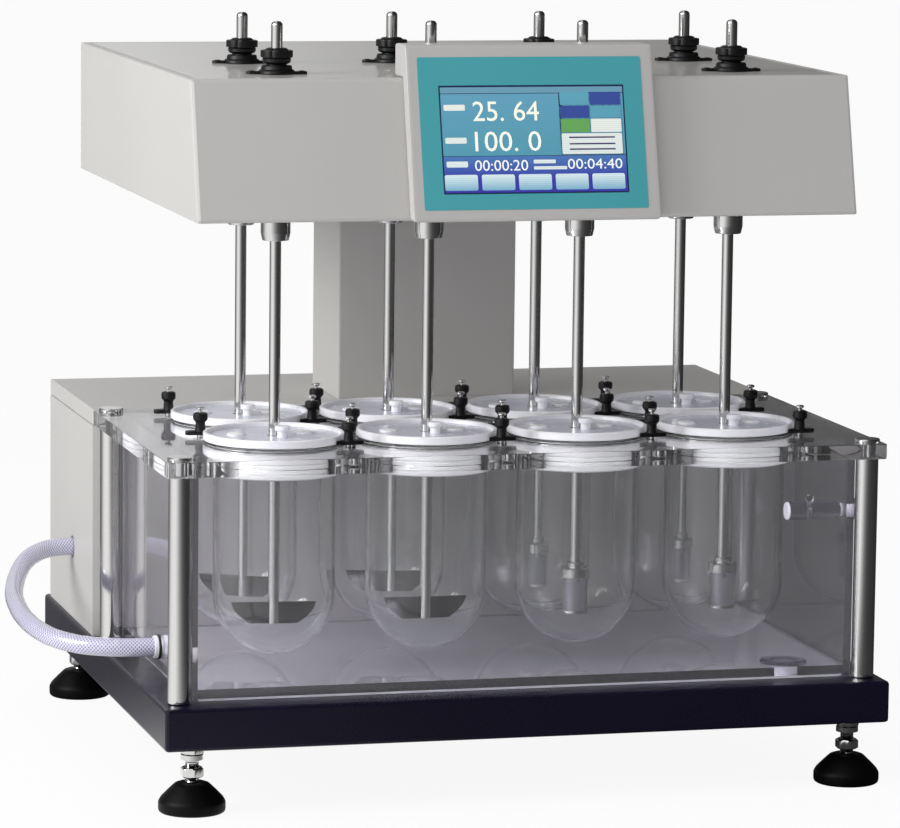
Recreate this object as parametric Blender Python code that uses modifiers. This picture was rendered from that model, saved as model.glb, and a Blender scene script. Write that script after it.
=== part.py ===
"""Tablet dissolution tester: eight glass vessels in a water bath, stirred from a head that lifts.

Units are metres, +Z is up and -Y is the front. The origin lies on the bench, under the middle of the
plinth. Every size below is a real size, and every other place is worked out from these sizes.
"""
import math

import bmesh
import bpy
from mathutils import Matrix, Vector

# Stirring places: two rows of four
COLUMNS = 4
COLUMN_PITCH = 0.137
ROW_PITCH = 0.139
COLUMN_SPAN = (COLUMNS - 1) * COLUMN_PITCH

# Room that each body leaves outside the stirring places
TANK_SIDE_MARGIN = 0.0915
TANK_FRONT_MARGIN = 0.0925
PLATE_SIDE_MARGIN = 0.1165
HEAD_SIDE_MARGIN = 0.0885
CABINET_MARGIN = 0.0925

# Clearances between neighbours
SEAT_GAP = 0.0003
SLIDE_GAP = 0.0006
CUT_OVERRUN = 0.002

# Facets of round pieces
VESSEL_SIDES = 16
SPINDLE_SIDES = 12
SHAFT_SIDES = 10
FOOT_SIDES = 12
CLAMP_SIDES = 8
DOME_STEPS = 4

# Plinth
BASE_REVEAL = 0.003
BASE_HEIGHT = 0.037
BASE_WALL = 0.003
BASE_DECK = 0.004
BASE_EDGE_RADIUS = 0.003
BOSS_RADIUS = 0.013
BOSS_HOLE_DEPTH = 0.030

# Levelling feet
FOOT_HEIGHT = 0.0575
FOOT_INSET = 0.0290
PAD_RADIUS = 0.0290
PAD_EDGE_HEIGHT = 0.009
PAD_HEIGHT = 0.026
PAD_TOP_RADIUS = 0.0145
STUD_RADIUS = 0.006
STUD_REACH = 0.024
NUT_WIDTH = 0.018
PAD_NUT_HEIGHT = 0.012
LOCK_NUT_HEIGHT = 0.0135

# Water tank
TANK_FRONT_INSET = 0.026
TANK_REAR_GAP = 0.009
TANK_WALL = 0.006
TANK_FLOOR = 0.008
TANK_FLOOR_LIFT = 0.0022

# Vessel plate
PLATE_FRONT_INSET = 0.0125
PLATE_REAR_GAP = 0.0005
PLATE_THICKNESS = 0.0135
PLATE_TOP = 0.304
PLATE_EDGE_RADIUS = 0.0012

# Corner posts
POST_RADIUS = 0.010
POST_INSET = 0.0140
POST_SIDES = 12

# Vessels
VESSEL_RADIUS = 0.0535
VESSEL_WALL = 0.0025
VESSEL_BOTTOM = 0.1177
COLLAR_RADIUS = 0.0590
COLLAR_DEPTH = 0.0255
FLANGE_RADIUS = 0.0610
FLANGE_THICKNESS = 0.002

# Vessel lids
LID_RADIUS = 0.062
LID_THICKNESS = 0.007
LID_RECESS = 0.0036
LID_RIM = 0.004
LID_LIP_DEPTH = 0.003
LID_SKIN = 0.003
STOPPER_RADIUS = 0.0045
STOPPER_CAP_RADIUS = 0.0065
STOPPER_HEIGHT = 0.0105
STOPPER_CAP = 0.004
STOPPER_OFFSET_X = 0.004
STOPPER_OFFSET_Y = -0.0145

# Vessel clamps, two for each vessel
CLAMP_REACH = 0.070
CLAMP_ANGLE = math.radians(144.5)
CLAMP_BODY_RADIUS = 0.0046
CLAMP_CAP_RADIUS = 0.0064
CLAMP_CAP_HEIGHT = 0.0075
CLAMP_HEIGHT = 0.0215
CLAMP_FOOT_LENGTH = 0.027
CLAMP_FOOT_WIDTH = 0.008
CLAMP_FOOT_HEIGHT = 0.0062
CLAMP_SCREW_RADIUS = 0.0030
CLAMP_SCREW_HEIGHT = 0.0055
CLAMP_JAW_GAP = 0.001

# Stirring shafts
SHAFT_RADIUS = 0.005
SHAFT_REACH = 0.0455
SHAFT_TIP = 0.003
SHAFT_TIP_RADIUS = 0.0035
STIRRER_BOTTOM = 0.1446

# Paddles
PADDLE_TOP_WIDTH = 0.0745
PADDLE_BOTTOM_WIDTH = 0.042
PADDLE_HEIGHT = 0.019
PADDLE_THICKNESS = 0.004
PADDLE_SIDE_BULGE = 0.0035
PADDLE_TURN_DEGREES = (-7, 0, -25, -11)

# Baskets
BASKET_RADIUS = 0.0112
BASKET_HEIGHT = 0.032
BASKET_CAP_RADIUS = 0.0128
BASKET_CAP_HEIGHT = 0.009
BASKET_NECK_RADIUS = 0.0075
BASKET_NECK_HEIGHT = 0.005
BASKET_BOTTOM_RIM = 0.003

# Head
HEAD_FRONT_BOTTOM_Y = -0.2656
HEAD_FRONT_LEAN = 0.0319
HEAD_REAR_Y = 0.273
HEAD_HEIGHT = 0.1195
HEAD_TOP = 0.6245
HEAD_SKIN = 0.003
HEAD_FLOOR = 0.005
HEAD_EDGE_RADIUS = 0.003
COVER_INSET = 0.0085
COVER_THICKNESS = 0.0033
COVER_LEDGE = 0.007

# Bearing flanges on the head cover
BEARING_RADIUS = 0.0158
BEARING_HEIGHT = 0.0076
BEARING_EAR_LENGTH = 0.053
BEARING_EAR_WIDTH = 0.009
BEARING_EAR_HEIGHT = 0.0026
BEARING_TURN = math.radians(-7)

# Drive spindles
SPINDLE_RADIUS = 0.008
FERRULE_RADIUS = 0.0130
FERRULE_END_RADIUS = 0.0115
FERRULE_HEIGHT = 0.024
FERRULE_TAPER = 0.006
PULLEY_RADIUS = 0.020
PULLEY_HEIGHT = 0.013
PULLEY_DROP = 0.0395
KNOB_RADIUS = 0.0140
KNOB_WAIST_RADIUS = 0.0120
KNOB_NECK = 0.0012
KNOB_CONE = 0.0050
KNOB_GRIP = 0.0062
KNOB_DOME = 0.0022
KNOB_CROWN_RADIUS = 0.0085

# Drive belt and motor
BELT_THICKNESS = 0.0022
BELT_HEIGHT = 0.009
BELT_CORNER_STEPS = 6
MOTOR_RADIUS = 0.028
MOTOR_CLEARANCE = 0.0042
MOTOR_FLANGE_WIDTH = 0.062
MOTOR_FLANGE_HEIGHT = 0.006
MOTOR_SHAFT_RADIUS = 0.006
MOTOR_SHAFT_REACH = 0.030

# Control panel on the head
BEZEL_WIDTH = 0.219
BEZEL_STAND_OFF = 0.016
BEZEL_RISE = 0.0285
BEZEL_TOP_DEPTH = 0.034
BEZEL_EDGE_RADIUS = 0.0025
SCREEN_WIDTH = 0.1640
SCREEN_HEIGHT = 0.0935
SCREEN_THICKNESS = 0.006
SCREEN_PROUD = 0.0006
SCREEN_RISE_SHARE = 0.4635

# Lift column and mast
COLUMN_WIDTH = 0.170
COLUMN_DEPTH = 0.103
COLUMN_WALL = 0.003
COLUMN_SETBACK = 0.0337
MAST_WIDTH = 0.070
MAST_DEPTH = 0.045
MAST_TOP_GAP = 0.020
MAST_FLANGE = 0.012
GUIDE_HEIGHT = 0.020
GUIDE_DROP = 0.006

# Rear cabinet
CABINET_DEPTH = 0.217
CABINET_REAR_INSET = 0.015
CABINET_WALL = 0.0025
CABINET_EDGE_RADIUS = 0.004
CABINET_COVER_HEIGHT = 0.015
CABINET_COVER_SKIN = 0.003

# Mains module on the back of the cabinet: a socket and a rocker switch in one flange
MODULE_SIDE_INSET = 0.092
MODULE_RISE = 0.0555
MODULE_WIDTH = 0.070
MODULE_HEIGHT = 0.034
MODULE_FLANGE = 0.003
MODULE_BODY_MARGIN = 0.004
MODULE_DEPTH = 0.022
SOCKET_WIDTH = 0.025
SOCKET_HEIGHT = 0.018
SOCKET_DEPTH = 0.016
SOCKET_OFFSET = 0.0155
ROCKER_WIDTH = 0.016
ROCKER_HEIGHT = 0.022
ROCKER_DEPTH = 0.009
ROCKER_PROUD = 0.0022
ROCKER_OFFSET = 0.0205
ROCKER_GAP = 0.0012
ROCKER_HALF_THROW = math.radians(7)
ROCKER_PIN_RADIUS = 0.0012
ROCKER_PIN_LENGTH = 0.0025

# Water circuit
HOSE_RADIUS = 0.0083
HOSE_PORT_Y = 0.160
HOSE_PORT_Z = 0.1615
HOSE_HOLE_RADIUS = 0.0105
FITTING_FRONT_INSET = 0.137
FITTING_Z = 0.1185
FITTING_COLLAR_RADIUS = 0.0100
FITTING_COLLAR_LENGTH = 0.0038
FITTING_FLANGE_RADIUS = 0.0110
FITTING_FLANGE_LENGTH = 0.0020
FITTING_BORE_RADIUS = 0.005
FITTING_THREAD_RADIUS = 0.0075
FITTING_NUT_LENGTH = 0.006
PUMP_RADIUS = 0.040
PUMP_LENGTH = 0.110
PUMP_PORT_RADIUS = 0.009
PUMP_PORT_LENGTH = 0.020
PUMP_STAND_WIDTH = 0.070
PUMP_SIDES = 16
HOSE_STRAIGHT = 0.016

# Floor drain and level sensor in the tank
DRAIN_SIDE_INSET = 0.054
DRAIN_FRONT_INSET = 0.029
DRAIN_FLANGE_RADIUS = 0.021
DRAIN_FLANGE_HEIGHT = 0.0025
DRAIN_NECK_RADIUS = 0.0105
DRAIN_DISH_RADIUS = 0.0110
DRAIN_DISH_DEPTH = 0.0012
DRAIN_REACH = 0.012
SENSOR_FRONT_INSET = 0.026
SENSOR_Z = 0.241
SENSOR_FLOAT_RADIUS = 0.0082
SENSOR_FLOAT_LENGTH = 0.022
SENSOR_NECK_RADIUS = 0.005
SENSOR_NECK_LENGTH = 0.004
SENSOR_BODY_RADIUS = 0.0078
SENSOR_BODY_LENGTH = 0.023
SENSOR_THREAD_RADIUS = 0.006
SENSOR_NUT_RADIUS = 0.0105
SENSOR_NUT_LENGTH = 0.009

# Route of the circulation hose, from the pump to the tank
HOSE_ROUTE = (
    (-0.343, 0.1565, 0.1610), (-0.360, 0.1460, 0.1579), (-0.373, 0.1285, 0.1528), (-0.383, 0.1050, 0.1463),
    (-0.391, 0.0760, 0.1410), (-0.397, 0.0440, 0.1372), (-0.400, 0.0100, 0.1341), (-0.400, -0.0230, 0.1302),
    (-0.395, -0.0560, 0.1258), (-0.384, -0.0850, 0.1219), (-0.366, -0.1080, 0.1195), (-0.344, -0.1220, 0.1189),
)

# Widths and depths worked out from the stirring places
TANK_WIDTH = COLUMN_SPAN + 2 * TANK_SIDE_MARGIN
PLATE_WIDTH = COLUMN_SPAN + 2 * PLATE_SIDE_MARGIN
CABINET_WIDTH = PLATE_WIDTH
HEAD_WIDTH = COLUMN_SPAN + 2 * HEAD_SIDE_MARGIN
BASE_WIDTH = PLATE_WIDTH + 2 * BASE_REVEAL
BASE_DEPTH = (TANK_FRONT_INSET + TANK_FRONT_MARGIN + ROW_PITCH + CABINET_MARGIN + CABINET_DEPTH
              + CABINET_REAR_INSET)

# Places worked out from the sizes
BASE_TOP = FOOT_HEIGHT + BASE_HEIGHT
BASE_FRONT_Y = -BASE_DEPTH / 2
BASE_REAR_Y = BASE_DEPTH / 2
FRONT_ROW_Y = BASE_FRONT_Y + TANK_FRONT_INSET + TANK_FRONT_MARGIN
ROW_YS = (FRONT_ROW_Y, FRONT_ROW_Y + ROW_PITCH)
CABINET_REAR_Y = BASE_REAR_Y - CABINET_REAR_INSET
CABINET_FRONT_Y = CABINET_REAR_Y - CABINET_DEPTH
COLUMN_XS = tuple((column - (COLUMNS - 1) / 2) * COLUMN_PITCH for column in range(COLUMNS))
STATIONS = tuple((x, y) for y in ROW_YS for x in COLUMN_XS)
PLATE_BOTTOM = PLATE_TOP - PLATE_THICKNESS
PLATE_FRONT_Y = BASE_FRONT_Y + PLATE_FRONT_INSET
PLATE_REAR_Y = CABINET_FRONT_Y - PLATE_REAR_GAP
TANK_FRONT_Y = BASE_FRONT_Y + TANK_FRONT_INSET
TANK_REAR_Y = CABINET_FRONT_Y - TANK_REAR_GAP
TANK_BOTTOM = BASE_TOP + SEAT_GAP
TANK_FLOOR_TOP = TANK_BOTTOM + TANK_FLOOR_LIFT + TANK_FLOOR
DRAIN_X = TANK_WIDTH / 2 - DRAIN_SIDE_INSET
DRAIN_Y = TANK_FRONT_Y + DRAIN_FRONT_INSET
SENSOR_Y = TANK_FRONT_Y + SENSOR_FRONT_INSET
FITTING_Y = TANK_FRONT_Y + FITTING_FRONT_INSET
FLANGE_BOTTOM = PLATE_TOP + SEAT_GAP
VESSEL_MOUTH = FLANGE_BOTTOM + FLANGE_THICKNESS
LID_BOTTOM = VESSEL_MOUTH + SEAT_GAP
LID_FLOOR = LID_BOTTOM + LID_THICKNESS - LID_RECESS
HEAD_FRONT_TOP_Y = HEAD_FRONT_BOTTOM_Y + HEAD_FRONT_LEAN
HEAD_BOTTOM = HEAD_TOP - HEAD_HEIGHT
HEAD_FLOOR_TOP = HEAD_BOTTOM + HEAD_FLOOR
PULLEY_MIDDLE = HEAD_TOP - PULLEY_DROP
SHAFT_TOP = HEAD_TOP + SHAFT_REACH
CABINET_BOTTOM = BASE_TOP + SEAT_GAP
CABINET_TOP = PLATE_TOP
CABINET_BODY_TOP = CABINET_TOP - CABINET_COVER_HEIGHT
MODULE_X = CABINET_WIDTH / 2 - MODULE_SIDE_INSET
MODULE_Z = BASE_TOP + MODULE_RISE
COLUMN_Y = CABINET_FRONT_Y + COLUMN_SETBACK + COLUMN_DEPTH / 2
CABINET_FLOOR_TOP = CABINET_BOTTOM + CABINET_WALL
SPINDLE_HOLE_RADIUS = (SPINDLE_RADIUS + SLIDE_GAP) / math.cos(math.pi / SPINDLE_SIDES)
HEAD_LEAN_SLOPE = HEAD_FRONT_LEAN / HEAD_HEIGHT
HEAD_LEAN_ANGLE = math.atan(HEAD_LEAN_SLOPE)


# Scene and collections

def clear_scene():
    for old in list(bpy.data.objects):
        bpy.data.objects.remove(old)
    for old in list(bpy.data.collections):
        bpy.data.collections.remove(old)


def new_collection(name):
    made = bpy.data.collections.new(name)
    bpy.context.scene.collection.children.link(made)
    return made


clear_scene()
PARTS = new_collection("dissolution_tester")
TOOLS = new_collection("construction")


# Materials

def material(name, colour, roughness, metallic=0.0, transmission=0.0):
    made = bpy.data.materials.new(name)
    made.use_nodes = True
    shader = made.node_tree.nodes["Principled BSDF"]
    shader.inputs["Base Color"].default_value = (*colour, 1.0)
    shader.inputs["Roughness"].default_value = roughness
    shader.inputs["Metallic"].default_value = metallic
    shader.inputs["Transmission Weight"].default_value = transmission
    made.diffuse_color = (*colour, 1.0)
    return made


PAINT = ("light_paint", (0.46, 0.45, 0.43), 0.45)
NAVY = ("navy_paint", (0.012, 0.010, 0.022), 0.35)
STEEL = ("stainless_steel", (0.62, 0.61, 0.60), 0.22, 1.0)
BLACK = ("black_plastic", (0.012, 0.012, 0.014), 0.42)
WHITE = ("white_plastic", (0.78, 0.79, 0.86), 0.38)
GLASS = ("clear_glass", (0.93, 0.95, 0.96), 0.02, 0.0, 1.0)
ACRYLIC = ("clear_acrylic", (0.90, 0.92, 0.93), 0.04, 0.0, 1.0)
HOSE = ("braided_hose", (0.62, 0.60, 0.74), 0.35)
SCREEN = ("screen_face", (0.06, 0.34, 0.38), 0.20)
MOTOR = ("motor_grey", (0.10, 0.10, 0.11), 0.50)


# Shapes

def add_piece(name, mesh, group, place=(0, 0, 0)):
    made = bpy.data.objects.new(name, mesh)
    made.location = place
    group.objects.link(made)
    return made


def block(name, low, high, group=TOOLS):
    """A box from its lowest to its highest corner."""
    size = Vector(high) - Vector(low)
    middle = (Vector(high) + Vector(low)) / 2
    shape = bmesh.new()
    bmesh.ops.create_cube(shape, size=1, matrix=Matrix.Translation(middle) @ Matrix.Diagonal((*size, 1)))
    mesh = bpy.data.meshes.new(name)
    shape.to_mesh(mesh)
    shape.free()
    return add_piece(name, mesh, group)


def rod(name, radius, low, high, sides, place=(0, 0), group=TOOLS):
    """An upright cylinder between two heights."""
    shape = bmesh.new()
    middle = Matrix.Translation((place[0], place[1], (low + high) / 2))
    bmesh.ops.create_cone(shape, cap_ends=True, segments=sides, radius1=radius, radius2=radius,
                          depth=high - low, matrix=middle)
    mesh = bpy.data.meshes.new(name)
    shape.to_mesh(mesh)
    shape.free()
    return add_piece(name, mesh, group)


def lay_along_x(piece, x, y, z):
    """Turn a piece that was made along +Z so that it points along -X from the given point."""
    quarter = Matrix.Rotation(-math.pi / 2, 4, "Y")
    piece.data.transform(Matrix.Translation((x, y, z)) @ quarter)
    return piece


def settle(piece):
    """Give a piece the mesh that its modifiers or its curve make, welded and smooth where round."""
    source = piece.evaluated_get(bpy.context.evaluated_depsgraph_get())
    mesh = bpy.data.meshes.new_from_object(source)
    weld = bmesh.new()
    weld.from_mesh(mesh)
    bmesh.ops.remove_doubles(weld, verts=weld.verts, dist=SEAT_GAP / 100)
    bmesh.ops.dissolve_degenerate(weld, edges=weld.edges, dist=SEAT_GAP / 100)
    bmesh.ops.recalc_face_normals(weld, faces=weld.faces)
    weld.to_mesh(mesh)
    weld.free()
    mesh.shade_smooth()
    mesh.set_sharp_from_angle(angle=math.radians(35))
    made = add_piece(piece.name, mesh, piece.users_collection[0], piece.location)
    name = piece.name
    bpy.data.objects.remove(piece)
    made.name = name
    return made


def turned(name, profile, sides, group=TOOLS, closed=True):
    """A turned piece. The profile runs outward along the top, down the outside and back inside."""
    edges = [(spot, spot + 1) for spot in range(len(profile) - 1)]
    if closed:
        edges.append((len(profile) - 1, 0))
    mesh = bpy.data.meshes.new(name)
    mesh.from_pydata([(radius, 0, height) for radius, height in profile], edges, [])
    piece = add_piece(name, mesh, group)
    lathe = piece.modifiers.new("lathe", "SCREW")
    lathe.axis = "Z"
    lathe.steps = sides
    lathe.render_steps = sides
    lathe.use_merge_vertices = True
    lathe.merge_threshold = SEAT_GAP / 100
    return settle(piece)


def plate_shape(name, outlines, low, high, group=TOOLS):
    """A flat piece between two heights. The first outline is its edge and the others are holes."""
    curve = bpy.data.curves.new(name, "CURVE")
    curve.dimensions = "2D"
    curve.fill_mode = "BOTH"
    curve.extrude = (high - low) / 2
    for outline in outlines:
        spline = curve.splines.new("POLY")
        spline.points.add(len(outline) - 1)
        for point, (x, y) in zip(spline.points, outline):
            point.co = (x, y, 0, 1)
        spline.use_cyclic_u = True
    piece = settle(add_piece(name, curve, group))
    piece.data.transform(Matrix.Translation((0, 0, (low + high) / 2)))
    return piece


def side_shape(name, outline, low, high, group=TOOLS):
    """A piece with one outline of (y, z) points all along X, between two values of X."""
    piece = plate_shape(name, [outline], low, high, group)
    piece.data.transform(Matrix(((0, 0, 1, 0), (1, 0, 0, 0), (0, 1, 0, 0), (0, 0, 0, 1))))
    return piece


def front_shape(name, outline, low, high, group=TOOLS):
    """A piece with one outline of (x, z) points all along Y, between two values of Y."""
    piece = plate_shape(name, [outline], -high, -low, group)
    piece.data.transform(Matrix.Rotation(math.pi / 2, 4, "X"))
    return piece


def combine(piece, others, operation):
    for other in others:
        for group in list(other.users_collection):
            group.objects.unlink(other)
        TOOLS.objects.link(other)
        other.hide_render = True
        other.display_type = "WIRE"
        step = piece.modifiers.new(other.name, "BOOLEAN")
        step.operation = operation
        step.solver = "EXACT"
        step.object = other
    return piece


def cut(piece, *cutters):
    return combine(piece, cutters, "DIFFERENCE")


def join(piece, *others):
    return combine(piece, others, "UNION")


def round_edges(piece, radius, segments=2, least_angle=math.radians(60)):
    step = piece.modifiers.new("edges", "BEVEL")
    step.width = radius
    step.segments = segments
    step.limit_method = "ANGLE"
    step.angle_limit = least_angle
    return settle(piece)


def publish(piece, finish):
    """Move a finished piece into the model's collection and give it its material."""
    for group in list(piece.users_collection):
        group.objects.unlink(piece)
    PARTS.objects.link(piece)
    made = bpy.data.materials.get(finish[0]) or material(*finish)
    piece.data.materials.clear()
    piece.data.materials.append(made)
    return piece


def publish_copies(piece, finish, names, places, turns=None):
    """One object for each name, all with the same mesh, each with its origin on its own axis."""
    piece = settle(piece)
    made = []
    for spot, (name, place) in enumerate(zip(names, places)):
        copy = publish(add_piece(name, piece.data, TOOLS, (*place, 0)), finish)
        if turns:
            copy.rotation_euler.z = turns[spot]
        made.append(copy)
    bpy.data.objects.remove(piece)
    return made


def hang(piece, joint):
    """Parent a piece to a joint's empty, and leave the piece where it is."""
    piece.parent = joint
    piece.matrix_parent_inverse = Matrix.Translation(joint.location).inverted()


def joint_empty(name, place):
    made = add_piece(name, None, TOOLS, place)
    made.empty_display_size = SPINDLE_RADIUS * 2
    return made


def hole_radius(radius, clearance, sides):
    """The radius of a faceted hole that clears a round piece by the given amount."""
    return (radius + clearance) / math.cos(math.pi / sides)


def arc(middle, radii, start, end, steps):
    """Points along part of an ellipse, both ends included. The angles are in degrees."""
    points = []
    for step in range(steps + 1):
        angle = math.radians(start + (end - start) * step / steps)
        points.append((middle[0] + radii[0] * math.cos(angle), middle[1] + radii[1] * math.sin(angle)))
    return points


# Plinth and feet

FOOT_X = BASE_WIDTH / 2 - FOOT_INSET
FOOT_Y = BASE_DEPTH / 2 - FOOT_INSET
FOOT_PLACES = ((-FOOT_X, -FOOT_Y), (FOOT_X, -FOOT_Y), (-FOOT_X, FOOT_Y), (FOOT_X, FOOT_Y))


def make_base():
    half_x, half_y = BASE_WIDTH / 2, BASE_DEPTH / 2
    base = block("base_frame", (-half_x, -half_y, FOOT_HEIGHT), (half_x, half_y, BASE_TOP))
    base = round_edges(base, BASE_EDGE_RADIUS)
    under_deck = BASE_TOP - BASE_DECK
    inner_x, inner_y = half_x - BASE_WALL, half_y - BASE_WALL
    cavity = block("base_cavity", (-inner_x, -inner_y, FOOT_HEIGHT - CUT_OVERRUN), (inner_x, inner_y, under_deck))
    cut(base, cavity)
    for number, place in enumerate(FOOT_PLACES, 1):
        boss = rod(f"foot_boss_{number}", BOSS_RADIUS, FOOT_HEIGHT, under_deck + BASE_DECK / 2, FOOT_SIDES, place)
        join(base, boss)
    for number, place in enumerate(FOOT_PLACES, 1):
        radius = hole_radius(STUD_RADIUS, SLIDE_GAP, FOOT_SIDES)
        hole = rod(f"foot_hole_{number}", radius, FOOT_HEIGHT - CUT_OVERRUN, FOOT_HEIGHT + BOSS_HOLE_DEPTH,
                   FOOT_SIDES, place)
        cut(base, hole)
    drain = rod("base_drain_hole", hole_radius(DRAIN_NECK_RADIUS, SLIDE_GAP, VESSEL_SIDES),
                FOOT_HEIGHT, BASE_TOP + CUT_OVERRUN, VESSEL_SIDES, (DRAIN_X, DRAIN_Y))
    cut(base, drain)
    return publish(settle(base), NAVY)


def make_feet():
    stud_top = FOOT_HEIGHT + STUD_REACH
    profile = [(0, stud_top), (STUD_RADIUS, stud_top), (STUD_RADIUS, PAD_HEIGHT), (PAD_TOP_RADIUS, PAD_HEIGHT),
               (PAD_RADIUS, PAD_EDGE_HEIGHT), (PAD_RADIUS, 0), (0, 0)]
    foot = turned("foot_shape", profile, FOOT_SIDES, closed=False)
    lock_top = FOOT_HEIGHT - SEAT_GAP
    nut_radius = NUT_WIDTH / 2 / math.cos(math.pi / 6)
    lock_nut = rod("lock_nut", nut_radius, lock_top - LOCK_NUT_HEIGHT, lock_top, 6)
    pad_nut = rod("pad_nut", nut_radius, PAD_HEIGHT - CUT_OVERRUN, PAD_HEIGHT + PAD_NUT_HEIGHT, 6)
    join(foot, lock_nut, pad_nut)
    names = [f"levelling_foot_{number}" for number in range(1, len(FOOT_PLACES) + 1)]
    return publish_copies(foot, BLACK, names, FOOT_PLACES)


# Water bath

def drain_shape():
    """Capped drain fitting bonded through the tank floor, with its neck reaching into the plinth."""
    top = TANK_FLOOR_TOP + DRAIN_FLANGE_HEIGHT
    sunk = TANK_FLOOR_TOP - TANK_FLOOR / 2
    floor = top - DRAIN_DISH_DEPTH
    profile = [(0, floor), (DRAIN_DISH_RADIUS, floor), (DRAIN_DISH_RADIUS, top), (DRAIN_FLANGE_RADIUS, top),
               (DRAIN_FLANGE_RADIUS, sunk), (DRAIN_NECK_RADIUS, sunk),
               (DRAIN_NECK_RADIUS, BASE_TOP - BASE_DECK - DRAIN_REACH), (0, BASE_TOP - BASE_DECK - DRAIN_REACH)]
    drain = turned("drain_fitting", profile, VESSEL_SIDES, closed=False)
    drain.location = (DRAIN_X, DRAIN_Y, 0)
    return drain


def make_tank():
    half_x = TANK_WIDTH / 2
    inner_x = half_x - TANK_WALL
    inner_front, inner_rear = TANK_FRONT_Y + TANK_WALL, TANK_REAR_Y - TANK_WALL
    top = PLATE_BOTTOM - SEAT_GAP
    tank = block("water_tank", (-half_x, TANK_FRONT_Y, TANK_BOTTOM), (half_x, TANK_REAR_Y, top))
    inside = block("tank_inside", (-inner_x, inner_front, TANK_FLOOR_TOP), (inner_x, inner_rear, top + CUT_OVERRUN))
    under = block("tank_underside", (-inner_x, inner_front, TANK_BOTTOM - CUT_OVERRUN),
                  (inner_x, inner_rear, TANK_BOTTOM + TANK_FLOOR_LIFT))
    hose_hole = rod("tank_hose_hole", hole_radius(FITTING_THREAD_RADIUS, SEAT_GAP, SPINDLE_SIDES),
                    -CUT_OVERRUN, TANK_WALL + CUT_OVERRUN, SPINDLE_SIDES)
    lay_along_x(hose_hole, -inner_x, FITTING_Y, FITTING_Z)
    sensor_hole = rod("tank_sensor_hole", hole_radius(SENSOR_THREAD_RADIUS, SEAT_GAP, SPINDLE_SIDES),
                      -CUT_OVERRUN, TANK_WALL + CUT_OVERRUN, SPINDLE_SIDES)
    lay_along_x(sensor_hole, half_x, SENSOR_Y, SENSOR_Z)
    cut(tank, inside, under, hose_hole, sensor_hole)
    join(tank, drain_shape())
    return publish(settle(tank), ACRYLIC)


def make_tank_fitting():
    """Bulkhead fitting in the tank's left wall: nut, threaded barrel, gasket flange and hose collar."""
    barrel = TANK_WALL + SEAT_GAP
    flange = barrel + FITTING_FLANGE_LENGTH
    collar = flange + FITTING_COLLAR_LENGTH
    nut = -SEAT_GAP
    profile = [(FITTING_BORE_RADIUS, collar), (FITTING_COLLAR_RADIUS, collar), (FITTING_COLLAR_RADIUS, flange),
               (FITTING_FLANGE_RADIUS, flange), (FITTING_FLANGE_RADIUS, barrel), (FITTING_THREAD_RADIUS, barrel),
               (FITTING_THREAD_RADIUS, nut), (FITTING_COLLAR_RADIUS, nut),
               (FITTING_COLLAR_RADIUS, nut - FITTING_NUT_LENGTH), (FITTING_BORE_RADIUS, nut - FITTING_NUT_LENGTH)]
    fitting = turned("tank_hose_fitting", profile, SPINDLE_SIDES)
    lay_along_x(fitting, TANK_WALL - TANK_WIDTH / 2, FITTING_Y, FITTING_Z)
    return publish(fitting, WHITE)


def make_sensor():
    """Side-mounted level sensor through the tank's right wall, its float towards the middle."""
    inner_face = TANK_WALL + SEAT_GAP
    neck = inner_face + SENSOR_BODY_LENGTH
    float_start = neck + SENSOR_NECK_LENGTH
    end = float_start + SENSOR_FLOAT_LENGTH
    nut = -SEAT_GAP
    profile = [(0, end), (SENSOR_FLOAT_RADIUS, end), (SENSOR_FLOAT_RADIUS, float_start),
               (SENSOR_NECK_RADIUS, float_start), (SENSOR_NECK_RADIUS, neck), (SENSOR_BODY_RADIUS, neck),
               (SENSOR_BODY_RADIUS, inner_face), (SENSOR_THREAD_RADIUS, inner_face), (SENSOR_THREAD_RADIUS, nut),
               (SENSOR_NUT_RADIUS, nut), (SENSOR_NUT_RADIUS, nut - SENSOR_NUT_LENGTH), (0, nut - SENSOR_NUT_LENGTH)]
    sensor = turned("level_sensor", profile, SPINDLE_SIDES, closed=False)
    lay_along_x(sensor, TANK_WIDTH / 2, SENSOR_Y, SENSOR_Z)
    return publish(sensor, MOTOR)


def make_posts():
    x = PLATE_WIDTH / 2 - POST_INSET
    front, rear = PLATE_FRONT_Y + POST_INSET, PLATE_REAR_Y - POST_INSET
    places = ((-x, front), (x, front), (-x, rear), (x, rear))
    post = rod("post_shape", POST_RADIUS, BASE_TOP + SEAT_GAP, PLATE_BOTTOM - SEAT_GAP, POST_SIDES)
    return publish_copies(post, STEEL, [f"corner_post_{number}" for number in range(1, 5)], places)


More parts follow.
